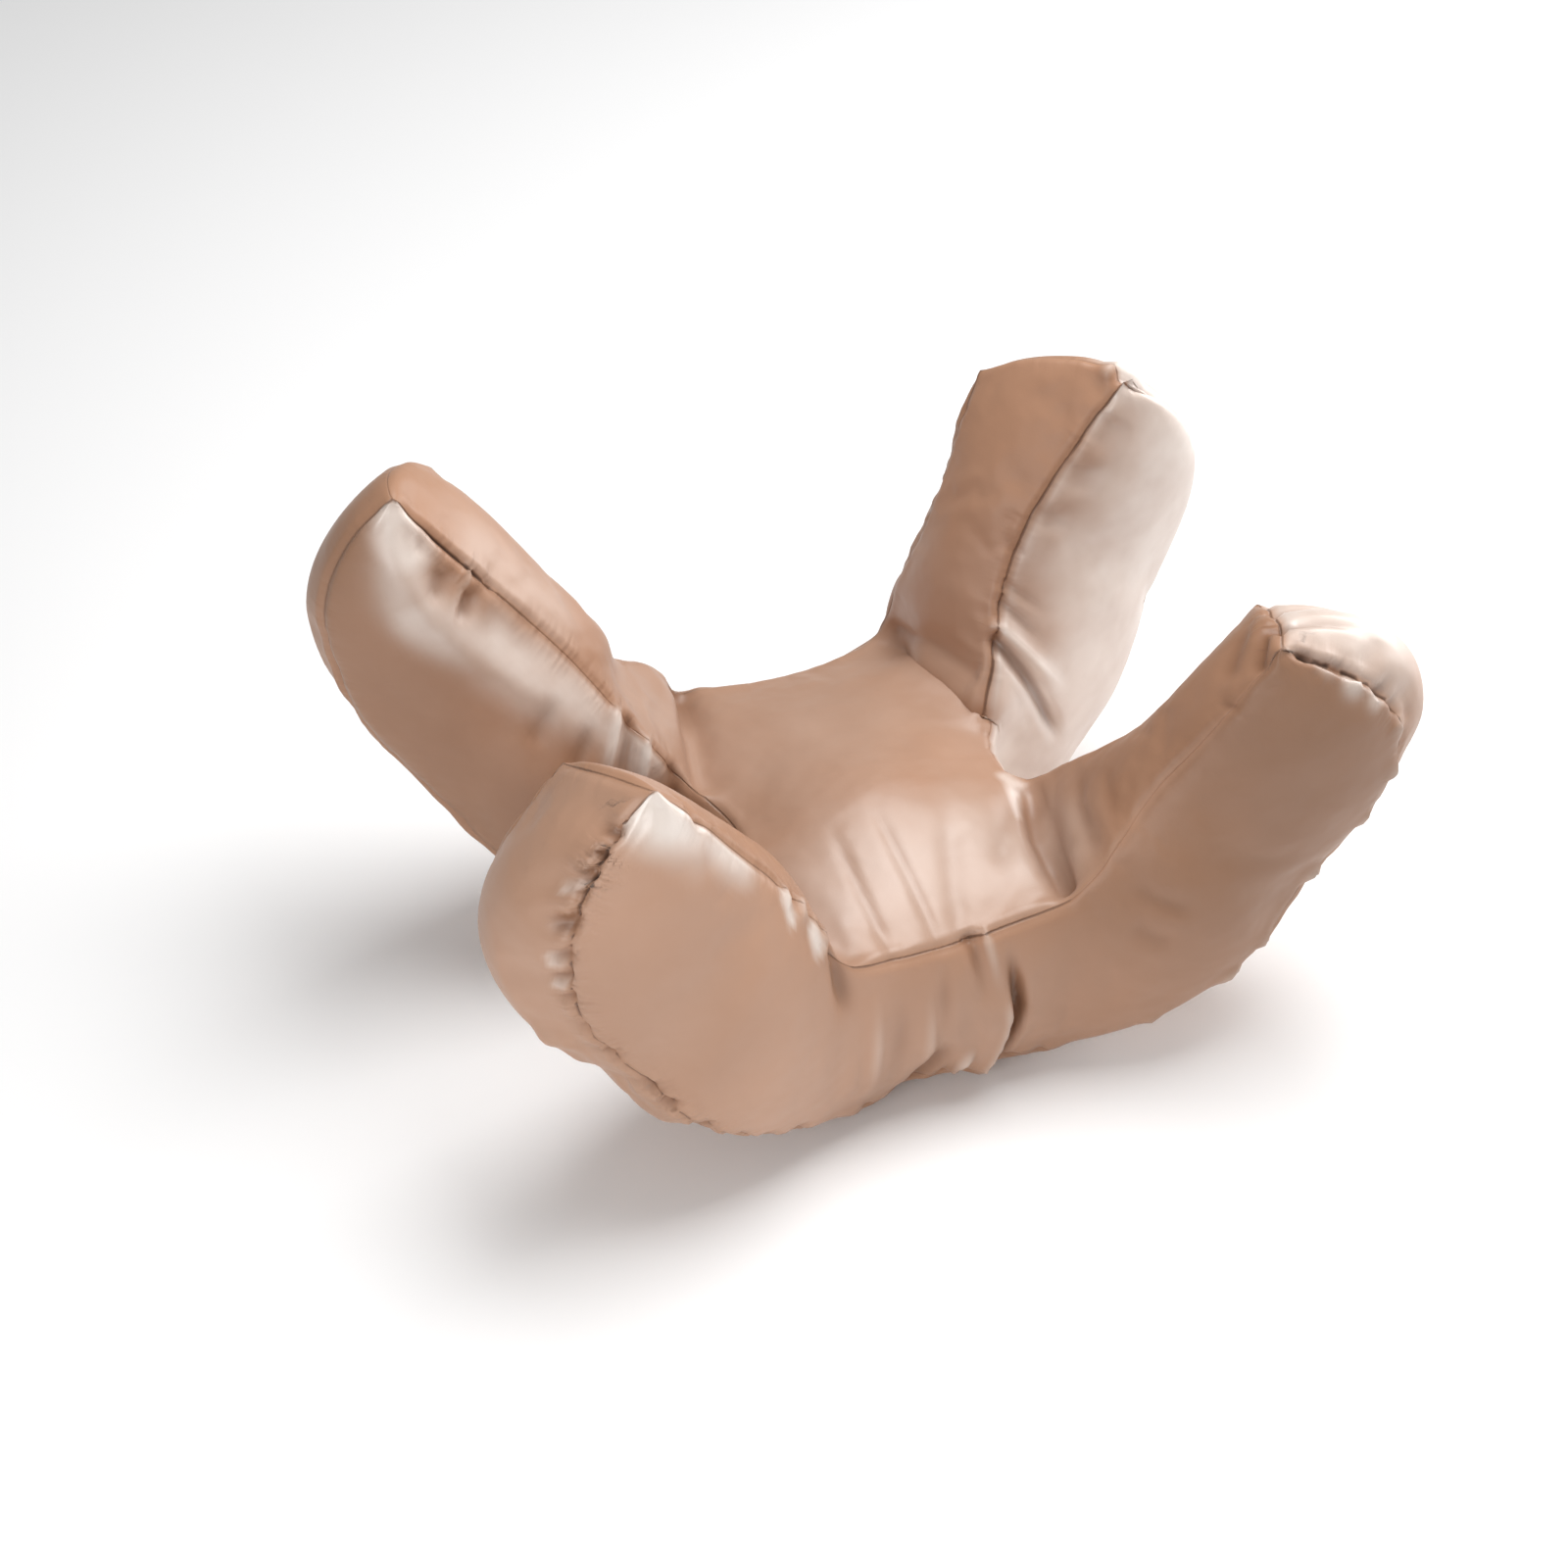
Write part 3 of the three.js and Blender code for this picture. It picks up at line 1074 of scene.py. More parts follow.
@dataclass(frozen=True)
class Filling:
    """The cloth simulation that blows the cover up. Each field is the setting of that name."""

    quality: int = 6
    mass: float = 0.15
    air_damping: float = 5.0
    tension_stiffness: float = 20.0
    compression_stiffness: float = 20.0
    shear_stiffness: float = 8.0
    bending_stiffness: float = 0.15
    tension_damping: float = 10.0
    compression_damping: float = 10.0
    shear_damping: float = 10.0
    use_pressure: bool = True
    uniform_pressure_force: float = 4.0
    pin_stiffness: float = 1.0
    shrink_min: float = -0.006
    shrink_max: float = 0.03

    def blow_up(self, pillow: bpy.types.Object, hold: str, stitch: str, frames: int) -> None:
        """Runs the simulation and keeps its last frame as the pillow's mesh.

        Args:
            pillow: The pillow, which is the active object.
            hold: Group of the points that are held.
            stitch: Group of the points that are drawn in.
            frames: Number of frames to run.
        """
        modifier = pillow.modifiers.new("filling", "CLOTH")
        settings = modifier.settings
        for name, value in asdict(self).items():
            setattr(settings, name, value)
        settings.vertex_group_mass = hold
        settings.vertex_group_shrink = stitch
        settings.effector_weights.gravity = 0.0
        modifier.collision_settings.use_collision = False
        modifier.point_cache.frame_start = 1
        modifier.point_cache.frame_end = frames
        scene = bpy.context.scene
        for number in range(1, frames + 1):
            scene.frame_set(number)
        bpy.ops.object.modifier_apply(modifier=modifier.name)
        scene.frame_set(1)


@dataclass
class Pillow:
    """The filled pillow in its satin cover. What ends in "count" is a number of patches in a metre."""

    cover: Cover
    folds: dict[str, tuple[Fold, ...]]
    gathers: tuple[Gather, ...]
    seams: tuple[Seam, ...]
    painted_marks: dict[PaintLayer, dict[str, tuple[PaintedStroke, ...]]]
    name: str = "pillow_cover"
    satin: Satin = Satin()
    filling: Filling = Filling()
    frames: int = 20
    grip: float = 0.8
    cap: float = 0.007
    stitch_mean: float = 0.7
    stitch_spread: float = 0.6
    stitch_count: float = 25.0
    plain_pull: float = 0.48
    plain_gathers: float = 0.2
    pull_spread: float = 0.45
    pull_count: float = 60.0
    gathers_from: float = 0.008
    gathers_full: float = 0.03
    seam_depth: float = 0.0030
    seam_width: float = 0.0032
    seam_lip: float = 1.3
    # Folds narrower than this get painted shade and painted highlight in the satin's colour.
    painted_fold_width: float = 0.010
    lumps: float = 0.0014
    lump_count: float = 22.0
    # How ragged the outlines of the painted light and shade are.
    ragged: float = 0.35
    ragged_count: float = 30.0
    rest_height: float = 0.0004
    corner_reach: float = 0.014

    def build(self) -> bpy.types.Object:
        """Makes the pillow's mesh.

        Returns:
            The finished object, at the origin.
        """
        self.cover.lay_out()
        pillow = bpy.data.objects.new(self.name, self.cover.mesh(self.name))
        bpy.context.scene.collection.objects.link(pillow)
        bpy.ops.object.select_all(action="DESELECT")
        bpy.context.view_layer.objects.active = pillow
        pillow.select_set(True)
        self.fill(pillow)
        self.refine(pillow)
        self.fold(pillow.data)
        self.brush(pillow.data)
        self.sew(pillow.data)
        bpy.ops.object.shade_smooth()
        return pillow

    def dress(self, pillow: bpy.types.Object) -> None:
        """Gives the pillow its satin."""
        pillow.data.materials.append(self.satin.build())

    @staticmethod
    def places(mesh: bpy.types.Mesh) -> np.ndarray:
        """The mesh's points as an array."""
        return read_all(mesh.vertices, "co", float, 3)

    @staticmethod
    def normals(mesh: bpy.types.Mesh) -> np.ndarray:
        """The mesh's normals at its points."""
        mesh.update()
        return read_all(mesh.vertex_normals, "vector", float, 3)

    @staticmethod
    def move(mesh: bpy.types.Mesh, places: np.ndarray) -> None:
        """Puts the mesh's points at new places."""
        mesh.vertices.foreach_set("co", places.ravel())
        mesh.update()

    @staticmethod
    def keep(mesh: bpy.types.Mesh, name: str, values: np.ndarray) -> None:
        """Keeps a number on each point of the mesh, for the satin to read."""
        mesh.attributes.new(name, "FLOAT", "POINT").data.foreach_set("value", values.astype(np.float32))

    @staticmethod
    def corner_cloths(mesh: bpy.types.Mesh) -> np.ndarray:
        """Number of the cloth at each corner of the mesh's faces."""
        cloths = read_all(mesh.attributes["cloth"].data, "value")
        return np.repeat(cloths, read_all(mesh.polygons, "loop_total"))

    def seam_points(self, mesh: bpy.types.Mesh) -> np.ndarray:
        """Finds the points on the seams.

        Args:
            mesh: The cover.

        Returns:
            True for each point on an edge between two cloths.
        """
        cloths = self.corner_cloths(mesh)
        edges = read_all(mesh.loops, "edge_index")
        low = np.full(len(mesh.edges), len(Cloth))
        high = np.full(len(mesh.edges), -1)
        np.minimum.at(low, edges, cloths)
        np.maximum.at(high, edges, cloths)
        sewn = np.zeros(len(mesh.vertices), bool)
        sewn[read_all(mesh.edges, "vertices", width=2)[low != high].ravel()] = True
        return sewn

    def cloth_points(self, mesh: bpy.types.Mesh, cloth: Cloth) -> np.ndarray:
        """Finds the points inside a cloth.

        Args:
            mesh: The cover.
            cloth: The cloth.

        Returns:
            True for each point whose faces are all of the cloth.
        """
        whole = np.ones(len(mesh.vertices), bool)
        whole[read_all(mesh.loops, "vertex_index")[self.corner_cloths(mesh) != cloth.value]] = False
        return whole

    def corner_share(self, places: np.ndarray) -> np.ndarray:
        """How far points are from the corners of the arms' faces, where seams meet.

        Args:
            places: The points.

        Returns:
            A share for each point, from 0 at a corner to 1 away from all of them.
        """
        share = np.ones(len(places))
        for arm in self.cover.arms:
            for corner in self.cover.panels[f"{arm.name}.inner"][[0, 0, -1, -1], [0, -1, 0, -1]]:
                share *= smooth(np.linalg.norm(places - corner, axis=1), 0.0, self.corner_reach)
        return share

    def fill(self, pillow: bpy.types.Object) -> None:
        """Blows the cover up, with the seams drawn in and the resting face held.

        Args:
            pillow: The pillow, which is the active object.
        """
        before = self.places(pillow.data)
        sewn = np.flatnonzero(self.seam_points(pillow.data))
        rests = before[:, 2] < self.rest_height
        corners = self.corner_share(before)[sewn]
        uneven = self.stitch_mean + self.stitch_spread * patchy(before[sewn], self.stitch_count)
        draws = np.clip(uneven, 0.0, 1.0) * corners
        grips = mix(1.0, self.grip, corners)
        stitch = pillow.vertex_groups.new(name="stitch")
        hold = pillow.vertex_groups.new(name="hold")
        for index, draw, grip in zip(sewn.tolist(), draws.tolist(), grips.tolist()):
            stitch.add([index], draw, "REPLACE")
            hold.add([index], grip, "REPLACE")
        hold.add(np.flatnonzero(rests).tolist(), 1.0, "REPLACE")
        self.filling.blow_up(pillow, hold.name, stitch.name, self.frames)
        shift = self.places(pillow.data) - before
        length = np.linalg.norm(shift, axis=1)
        LOG.info("filling moved the cover by %.1f mm at most, %.1f mm on average",
                 MM_IN_M * length.max(), MM_IN_M * length.mean())
        shift *= column(np.minimum(1.0, self.cap / np.maximum(length, TINY)))
        shift[rests] = 0.0
        self.move(pillow.data, before + shift)

    @staticmethod
    def refine(pillow: bpy.types.Object) -> None:
        """Divides the cloth once more, with its surface smoothed.

        Args:
            pillow: The pillow, which is the active object.
        """
        finer = pillow.modifiers.new("finer", "SUBSURF")
        finer.levels = 1
        finer.render_levels = 1
        finer.boundary_smooth = "ALL"
        bpy.ops.object.modifier_apply(modifier=finer.name)

    def fold(self, mesh: bpy.types.Mesh) -> None:
        """Presses the folds into the cloth. Each point keeps how deep the small ones press it, for the
        painted shade and painted highlight that the satin puts along them.

        Args:
            mesh: The cover.
        """
        places = self.places(mesh)
        normals = self.normals(mesh)
        self.cover.follow(places)
        depth = self.lumps * patchy(places, self.lump_count)
        painted_fold_depths = np.zeros(len(places))
        gathered = [(gather.panel, fold) for gather in self.gathers for fold in gather.folds()]
        for panel, fold in [*rows(self.folds), *gathered]:
            press = fold.press(self.cover.line(panel, fold.start, fold.stop, fold.bend), places)
            depth += press
            # Narrow folds also get painted shade and painted highlight in the satin's colour.
            painted_fold_depths += press * (fold.width < self.painted_fold_width)
        self.keep(mesh, "crease", painted_fold_depths)
        depth[places[:, 2] < self.rest_height] = 0.0
        self.move(mesh, places - normals * column(depth))

    def brush(self, mesh: bpy.types.Mesh) -> None:
        """Paints light and shade into the satin. Each point keeps its painted highlight and its painted light
        and shade.

        Args:
            mesh: The cover.
        """
        places = self.places(mesh)
        uneven = 1.0 + self.ragged * patchy(places, self.ragged_count)
        inside = {cloth: self.cloth_points(mesh, cloth) for cloth in Cloth}
        for paint_layer in PaintLayer:
            look = np.zeros(len(places))
            for panel, nap in rows(self.painted_marks[paint_layer]):
                line = self.cover.line(panel, nap.start, nap.stop)
                change = nap.painted_amount(line, places, uneven) * inside[self.cover.cloths[panel]]
                # Painted light and shade add up; painted highlights keep the strongest, and negative rows dim
                # them.
                if paint_layer is PaintLayer.TONE:
                    look += change
                elif nap.pale > 0.0:
                    np.maximum(look, change, out=look)
                else:
                    look *= 1.0 + change
            self.keep(mesh, paint_layer.value, look)

    def tightness(self, panel: str, rim: Rim, line: np.ndarray) -> tuple[np.ndarray, np.ndarray]:
        """How tight a seam is at each of its points, uneven from stitch to stitch.

        Args:
            panel: Name of the panel that the seam is a rim of.
            rim: Which of its rims.
            line: Points along the seam.

        Returns:
            The pull and the gathers at each point. The gathers die away at both ends of the seam.
        """
        pulls = np.full(len(line), self.plain_pull)
        gathers = np.full(len(line), self.plain_gathers)
        for seam in self.seams:
            if (seam.panel, seam.rim) == (panel, rim):
                weight = seam.weight(len(line))
                pulls = mix(pulls, seam.pull, weight)
                gathers = mix(gathers, seam.gathers, weight)
        uneven = patchy(line, self.pull_count)
        ends = np.minimum(*(np.linalg.norm(line - corner, axis=1) for corner in line[[0, -1]]))
        inner = smooth(ends, self.gathers_from, self.gathers_full)
        return pulls * (1.0 + self.pull_spread * uneven), gathers * (1.0 + uneven) * inner

    def sew(self, mesh: bpy.types.Mesh) -> None:
        """Pinches the cloth in along its seams.

        Each point keeps how far it is from its nearest seam, how far along that seam, and how tight it is.

        Args:
            mesh: The cover.
        """
        places = self.places(mesh)
        away = np.full(len(places), np.inf)
        run, pull, gathers = np.zeros((3, len(places)))
        for panel, rim in self.cover.sewn():
            line = places[self.cover.rim(panel, rim)]
            distance, share = line_distance(line, places)
            nearer = distance < away
            away = np.where(nearer, distance, away)
            run = np.where(nearer, share * np.linalg.norm(np.diff(line, axis=0), axis=1).sum(), run)
            stitches = np.linspace(0.0, 1.0, len(line))
            pulls, puckers = self.tightness(panel, rim, line)
            pull = np.where(nearer, np.interp(share, stitches, pulls), pull)
            gathers = np.where(nearer, np.interp(share, stitches, puckers), gathers)
        for name, values in (("seam", away), ("run", run), ("pull", pull), ("gathers", gathers)):
            self.keep(mesh, name, values)
        reach = (away / self.seam_width) ** 2
        pinch = self.seam_depth * pull * (1.0 - self.seam_lip * reach) * np.exp(-reach)
        depth = pinch * self.corner_share(places)
        depth[places[:, 2] < self.rest_height] = 0.0
        places = places - self.normals(mesh) * column(depth)
        places[:, 2] = np.maximum(places[:, 2], 0.0)
        self.move(mesh, places)


def set_up(thing: bpy.types.Object, target: Vector, azimuth: float, elevation: float,
           distance: float) -> None:
    """Puts a light or the camera at an angle to a target, turned to it.

    Args:
        thing: The light or camera.
        target: What it looks at.
        azimuth: Degrees round the target, 0 in front and growing to the right.
        elevation: Degrees above the target.
        distance: How far away it is.
    """
    turn, rise = math.radians(azimuth), math.radians(elevation)
    level = math.cos(rise)
    away = Vector((math.sin(turn) * level, -math.cos(turn) * level, math.sin(rise)))
    thing.location = target + away * distance
    thing.rotation_euler = (-away).to_track_quat("-Z", "Y").to_euler()
    bpy.context.scene.collection.objects.link(thing)


@dataclass(frozen=True)
class SoftBox:
    """A soft studio light that looks at the pillow."""

    name: str
    azimuth: float
    elevation: float
    distance: float
    width: float
    height: float
    power: float

    def build(self, target: Vector) -> None:
        """Adds the light.

        Args:
            target: What it looks at.
        """
        light = bpy.data.lights.new(self.name, "AREA")
        light.shape = "RECTANGLE"
        light.size = self.width
        light.size_y = self.height
        light.energy = self.power
        lamp = bpy.data.objects.new(self.name, light)
        set_up(lamp, target, self.azimuth, self.elevation, self.distance)


@dataclass(frozen=True)
class Studio:
    """Pale floor, soft light and the camera."""

    target: Vector = Vector((-0.0315, 0.0298, 0.1055))
    azimuth: float = -23.0
    elevation: float = 42.5
    distance: float = 1.478
    lens: float = 68.15
    sensor: float = 36.0
    floor_size: float = 30.0
    floor_color: Color = (0.94, 0.94, 0.94, 1.0)
    floor_roughness: float = 0.9
    floor_specular: float = 0.1
    sky_color: Color = (1.0, 1.0, 1.0, 1.0)
    sky_power: float = 0.30
    boxes: tuple[SoftBox, ...] = (
        SoftBox("top_box", 95.0, 74.0, 1.5, 1.1, 0.9, 23.0),
        SoftBox("right_box", 100.0, 14.0, 1.5, 1.3, 0.8, 12.0),
        SoftBox("low_strip", 32.0, 8.0, 1.6, 0.9, 0.25, 0.45),
        SoftBox("left_box", -42.0, 20.0, 0.75, 0.35, 0.35, 1.7),
    )

    def build(self) -> None:
        """Sets the stage."""
        self.add_floor()
        for box in self.boxes:
            box.build(self.target)
        world = bpy.data.worlds.new("studio")
        world.use_nodes = True
        background = world.node_tree.nodes["Background"]
        background.inputs["Color"].default_value = self.sky_color
        background.inputs["Strength"].default_value = self.sky_power
        bpy.context.scene.world = world
        bpy.context.scene.view_settings.view_transform = "Standard"
        self.add_camera()

    def add_floor(self) -> None:
        """Adds the floor."""
        bpy.ops.object.select_all(action="DESELECT")
        bpy.ops.mesh.primitive_plane_add(size=self.floor_size)
        floor = bpy.context.object
        floor.name = "floor"
        graph = Graph("pale_floor")
        graph.feed(graph.shader, {"Base Color": self.floor_color, "Roughness": self.floor_roughness,
                                  "Specular IOR Level": self.floor_specular})
        floor.data.materials.append(graph.material)

    def add_camera(self) -> None:
        """Adds the camera at the viewing angle."""
        data = bpy.data.cameras.new("camera")
        data.lens = self.lens
        data.sensor_width = self.sensor
        camera = bpy.data.objects.new("camera", data)
        set_up(camera, self.target, self.azimuth, self.elevation, self.distance)
        bpy.context.scene.camera = camera


ARMS = (
    Arm("back_left", -1, 1, aim=18, turn=-2, root_rise=53, tip_rise=54, twist=-5, length=0.211,
        depth=0.104, waist_half=0.025, tip_half=0.033, slant=-0.017, bow=0.012, dome=0.0, square=2.1),
    Arm("front_left", -1, -1, aim=22, turn=-22, root_rise=61, tip_rise=48, twist=29, length=0.168,
        depth=0.108, waist_half=0.025, tip_half=0.034, slant=0.003, bow=0.007, dome=0.002, square=2.2),
    Arm("front_right", 1, -1, aim=21, turn=-10, root_rise=45, tip_rise=60, twist=21, length=0.156,
        depth=0.106, waist_half=0.025, tip_half=0.033, slant=0.008, bow=0.005, dome=0.016, square=3.6),
    Arm("back_right", 1, 1, aim=18, turn=-11, root_rise=80, tip_rise=54, twist=21, length=0.173,
        depth=0.114, waist_half=0.026, tip_half=0.034, slant=-0.019, bow=0.011, dome=0.004, square=2.1),
)

EDGES = (
    Edge("front", "front_left", "front_right", True, Cloth.FRONT, (0, -1, 0),
         bow=-0.004, dip=0.010, lift=0.007),
    Edge("right", "front_right", "back_right", False, Cloth.RIGHT, (1, 0, 0),
         bow=-0.006, dip=0.004, lift=0.0),
    Edge("back", "back_right", "back_left", True, Cloth.BACK, (0, 1, 0),
         bow=-0.004, dip=0.010, lift=0.007),
    Edge("left", "back_left", "front_left", False, Cloth.LEFT, (-1, 0, 0),
         bow=-0.006, dip=0.004, lift=0.0),
)

ROOT_CREASE = Fold((0, 0.0), (0, 1.0), 0.0036, 0.0110, ridge=0.0, fade=(0.1, 0.1))

FOLDS = {
    "pad_top": (
        Fold((0.46, 0.0), (0.44, 1.0), -0.005, 0.035, ridge=0.0),
        Fold((0.40, 0.30), (0.0, 0.20), 0.0011, 0.0036, ridge=0.35, fade=(0.4, 0.0)),
        Fold((0.42, 0.44), (0.0, 0.42), 0.0011, 0.0038, ridge=0.35, fade=(0.4, 0.0)),
        Fold((0.36, 0.70), (0.0, 0.52), 0.0012, 0.0070, ridge=0.3, fade=(0.4, 0.0)),
        Fold((0.34, 0.93), (0.10, 0.76), 0.0013, 0.0070, ridge=0.3),
        Fold((0.38, 1.0), (0.0, 1.0), 0.0040, 0.0055, ridge=0.3, fade=(0.3, 0.1), bend=(0.20, 0.962)),
    ),
    "back_left.inner": (
        ROOT_CREASE,
        Fold((0.0, 0.0), (0.0, 0.60), 0.0050, 0.0080, ridge=0.2, fade=(0.0, 1.0)),
        Fold((0.24, 0), (0.26, 0.6), 0.010, 0.020, ridge=0.0, fade=(0, 0)),
        Fold((0.71, 1.00), (0.73, 0.82), 0.0020, 0.0040, fade=(0.0, 1.0)),
    ),
    "front_left.inner": (
        ROOT_CREASE,
        Fold((0.80, 0.0), (0.86, 0.35), 0.0020, 0.0050, fade=(0.0, 0.6)),
    ),
    "front_right.inner": (
        ROOT_CREASE,
        Fold((0.17, 0.78), (0.14, 0.02), 0.0018, 0.0065, ridge=0.3),
        Fold((0.31, 0.60), (0.27, 0.02), 0.0014, 0.0070, ridge=0.3),
        Fold((1.0, 0.42), (0.88, 0.0), 0.0042, 0.0070, fade=(0.1, 0.2)),
        Fold((0.74, 0.12), (0.77, 0.0), 0.0016, 0.0030, fade=(0.5, 0.0)),
        Fold((0.93, 0.60), (0.78, 0.15), 0.0026, 0.0085, ridge=0.3),
    ),
    "back_right.inner": (
        Fold((0.02, 0.02), (0.115, 0.98), 0.0024, 0.0105, ridge=0.0, fade=(0.1, 0.1), bend=(0.11, 0.50)),
        Fold((0.02, 0.02), (0.115, 0.98), 0.0012, 0.0040, ridge=0.3, fade=(0.1, 0.1), bend=(0.11, 0.50)),
        Fold((0.03, 0.20), (0.04, 1.0), -0.0095, 0.0200, ridge=0.0, fade=(0.4, 0.0)),
        Fold((0.50, 1.0), (0.56, 0.80), 0.0012, 0.0040, fade=(0.0, 1.0)),
    ),
    "front": (
        Fold((0.72, 0.04), (0.70, 1.00), 0.0105, 0.0042, fade=(0.55, 0.0), bend=(0.765, 0.50)),
        Fold((0.69, 0.35), (0.655, 1.00), -0.0028, 0.0046, fade=(0.4, 0.0), bend=(0.715, 0.55)),
        Fold((0.63, 0.0), (0.67, 0.40), -0.0026, 0.0038, fade=(0.0, 0.9)),
        Fold((0.42, 0.03), (0.40, 0.70), 0.0024, 0.0050, fade=(0.4, 0.8)),
        Fold((0.66, 0.25), (0.62, 1.00), -0.004, 0.0105, fade=(0.4, 0.0)),
        Fold((0.56, 0.0), (0.61, 0.44), 0.0032, 0.0040, fade=(0.0, 0.9)),
        Fold((0.50, 0.98), (0.55, 0.66), -0.0042, 0.0045, fade=(0.0, 0.6)),
        Fold((0.45, 0.55), (0.30, 1.00), 0.0058, 0.0080, ridge=0.3, fade=(0.6, 0.0)),
        Fold((0.34, 0.08), (0.32, 0.92), -0.0026, 0.0050, fade=(0.7, 0.6)),
        Fold((0.22, 0.02), (0.16, 0.95), 0.0026, 0.0075, ridge=0.3, fade=(0.6, 0.6)),
        Fold((0.09, 0.03), (0.05, 0.90), -0.0025, 0.0048, fade=(0.6, 0.6)),
    ),
    "back_left.flank": (
        Fold((0.92, 0.40), (0.28, 0.14), -0.0040, 0.0115, ridge=0.2, fade=(0.2, 0.2), bend=(0.60, 0.26)),
        Fold((0.80, 0.08), (0.75, 0.28), 0.0032, 0.0070),
        Fold((0.73, 0.04), (0.69, 0.22), 0.0036, 0.0065),
        Fold((0.765, 0.0), (0.69, 0.34), -0.0022, 0.0035, fade=(0.0, 0.5)),
        Fold((0.90, 0.04), (0.84, 0.20), 0.0016, 0.0040),
        Fold((0.46, 0.14), (0.44, 0.40), 0.0022, 0.0070),
        Fold((0.36, 0.10), (0.34, 0.36), 0.0026, 0.0060),
        Fold((0.30, 0.0), (0.27, 0.30), -0.0036, 0.0036, fade=(0.0, 0.5)),
        Fold((0.25, 0.0), (0.22, 0.30), 0.0040, 0.0050, fade=(0.0, 0.5)),
        Fold((0.20, 0.0), (0.17, 0.25), -0.0034, 0.0036, fade=(0.0, 0.5)),
        Fold((0.10, 0.0), (0.06, 0.30), 0.0040, 0.0060, fade=(0.0, 0.5)),
    ),
    "back_right.flank": (
        Fold((0.88, 0.16), (0.79, 0.05), 0.0030, 0.0110),
        Fold((0.76, 0.08), (0.67, 0.11), 0.0028, 0.0105),
        Fold((0.64, 0.05), (0.58, 0.10), 0.0024, 0.0100),
        Fold((0.40, 0.0), (0.39, 0.20), 0.0016, 0.0035, fade=(0.0, 0.6)),
        Fold((0.345, 0.0), (0.32, 0.24), 0.0022, 0.0035, fade=(0.0, 0.6)),
        Fold((0.28, 0.0), (0.27, 0.50), -0.0028, 0.0045, fade=(0.0, 0.6)),
        Fold((0.235, 0.0), (0.20, 0.66), 0.0046, 0.0048, ridge=0.9, fade=(0.0, 0.4)),
    ),
    "back_right.outer": (
        Fold((1.0, 0.94), (0.90, 0.98), 0.0042, 0.0050, fade=(0.0, 0.5)),
        Fold((1.0, 0.86), (0.93, 0.90), -0.0040, 0.0060, fade=(0.0, 0.5)),
    ),
    "front_right.end": (
        Fold((0.20, 0.12), (0.34, 0.50), 0.0018, 0.0070),
        Fold((0.16, 0.28), (0.26, 0.54), 0.0016, 0.0075),
        Fold((0.86, 1.0), (0.84, 0.78), -0.0022, 0.0030, fade=(0.0, 0.8)),
    ),
    "front_right.outer": (
        Fold((1.0, 0.30), (0.86, 0.34), 0.0026, 0.0050, fade=(0.0, 0.6)),
        Fold((1.0, 0.62), (0.88, 0.68), 0.0032, 0.0050, fade=(0.0, 0.6)),
        Fold((0.99, 0.90), (0.85, 0.86), 0.0028, 0.0055, fade=(0.0, 0.6)),
    ),
    "front_left.end": (Fold((0.12, 0), (0.02, 0.3), 0.0040, 0.0080, fade=(0.0, 0.5)),),
    "front_left.outer": (
        Fold((0.55, 0.65), (0.55, 0.15), -0.0032, 0.0120),
        Fold((0.46, 0.60), (0.45, 0.10), 0.0042, 0.0110),
        Fold((0.36, 0.55), (0.36, 0.05), -0.0034, 0.0105),
        Fold((0.28, 0.55), (0.28, 0.02), 0.0042, 0.0110),
    ),
}

GATHERS = (
    Gather("front_left.outer", 0.0, 0.24, 0.64, 0.93, 9, depth=0.0055, width=0.0040, seed=3),
    Gather("front_left.outer", 0.0, 0.20, 0.25, 0.62, 6, depth=0.0040, width=0.0048, seed=4),
    Gather("front_left.end", 0.0, 0.16, 0.14, 0.40, 4, depth=-0.0034, width=0.0044, seed=5),
    Gather("front_left.end", 1.0, -0.16, 0.10, 0.56, 7, depth=0.0036, width=0.0048, seed=8),
    Gather("front_right.end", 1.0, -0.14, 0.12, 0.80, 7, depth=-0.0040, width=0.0055, seed=11),
    Gather("front_right.end", 1.0, -0.14, 0.84, 0.97, 4, depth=0.0018, width=0.0026, seed=13),
    Gather("front_right.outer", 0.0, 0.20, 0.72, 0.97, 6, depth=0.0030, width=0.0042, seed=17),
    Gather("back_left.flank", 1.0, -0.10, 0.30, 0.80, 7, depth=0.0012, width=0.0030, seed=19),
    Gather("back_right.flank", 1.0, -0.12, 0.20, 0.90, 8, depth=0.0016, width=0.0034, seed=23),
    Gather("front", 1.0, -0.20, 0.05, 0.95, 6, depth=0.0034, width=0.0048, seed=29),
    Gather("right", 0.0, 0.14, 0.10, 0.90, 4, depth=0.0018, width=0.0028, seed=31),
    Gather("back", 1.0, -0.16, 0.05, 0.95, 8, depth=0.0022, width=0.0038, seed=37),
    Gather("back_left.end", 0.0, 0.16, 0.20, 0.90, 9, depth=0.0018, width=0.0034, seed=41),
    Gather("back_right.end", 0.0, 0.16, 0.20, 0.90, 9, depth=0.0018, width=0.0034, seed=43),
    Gather("back_left.end", 1.0, -0.16, 0.20, 0.90, 9, depth=0.0020, width=0.0036, seed=47),
    Gather("back_right.end", 1.0, -0.16, 0.20, 0.90, 9, depth=0.0020, width=0.0036, seed=53),
)

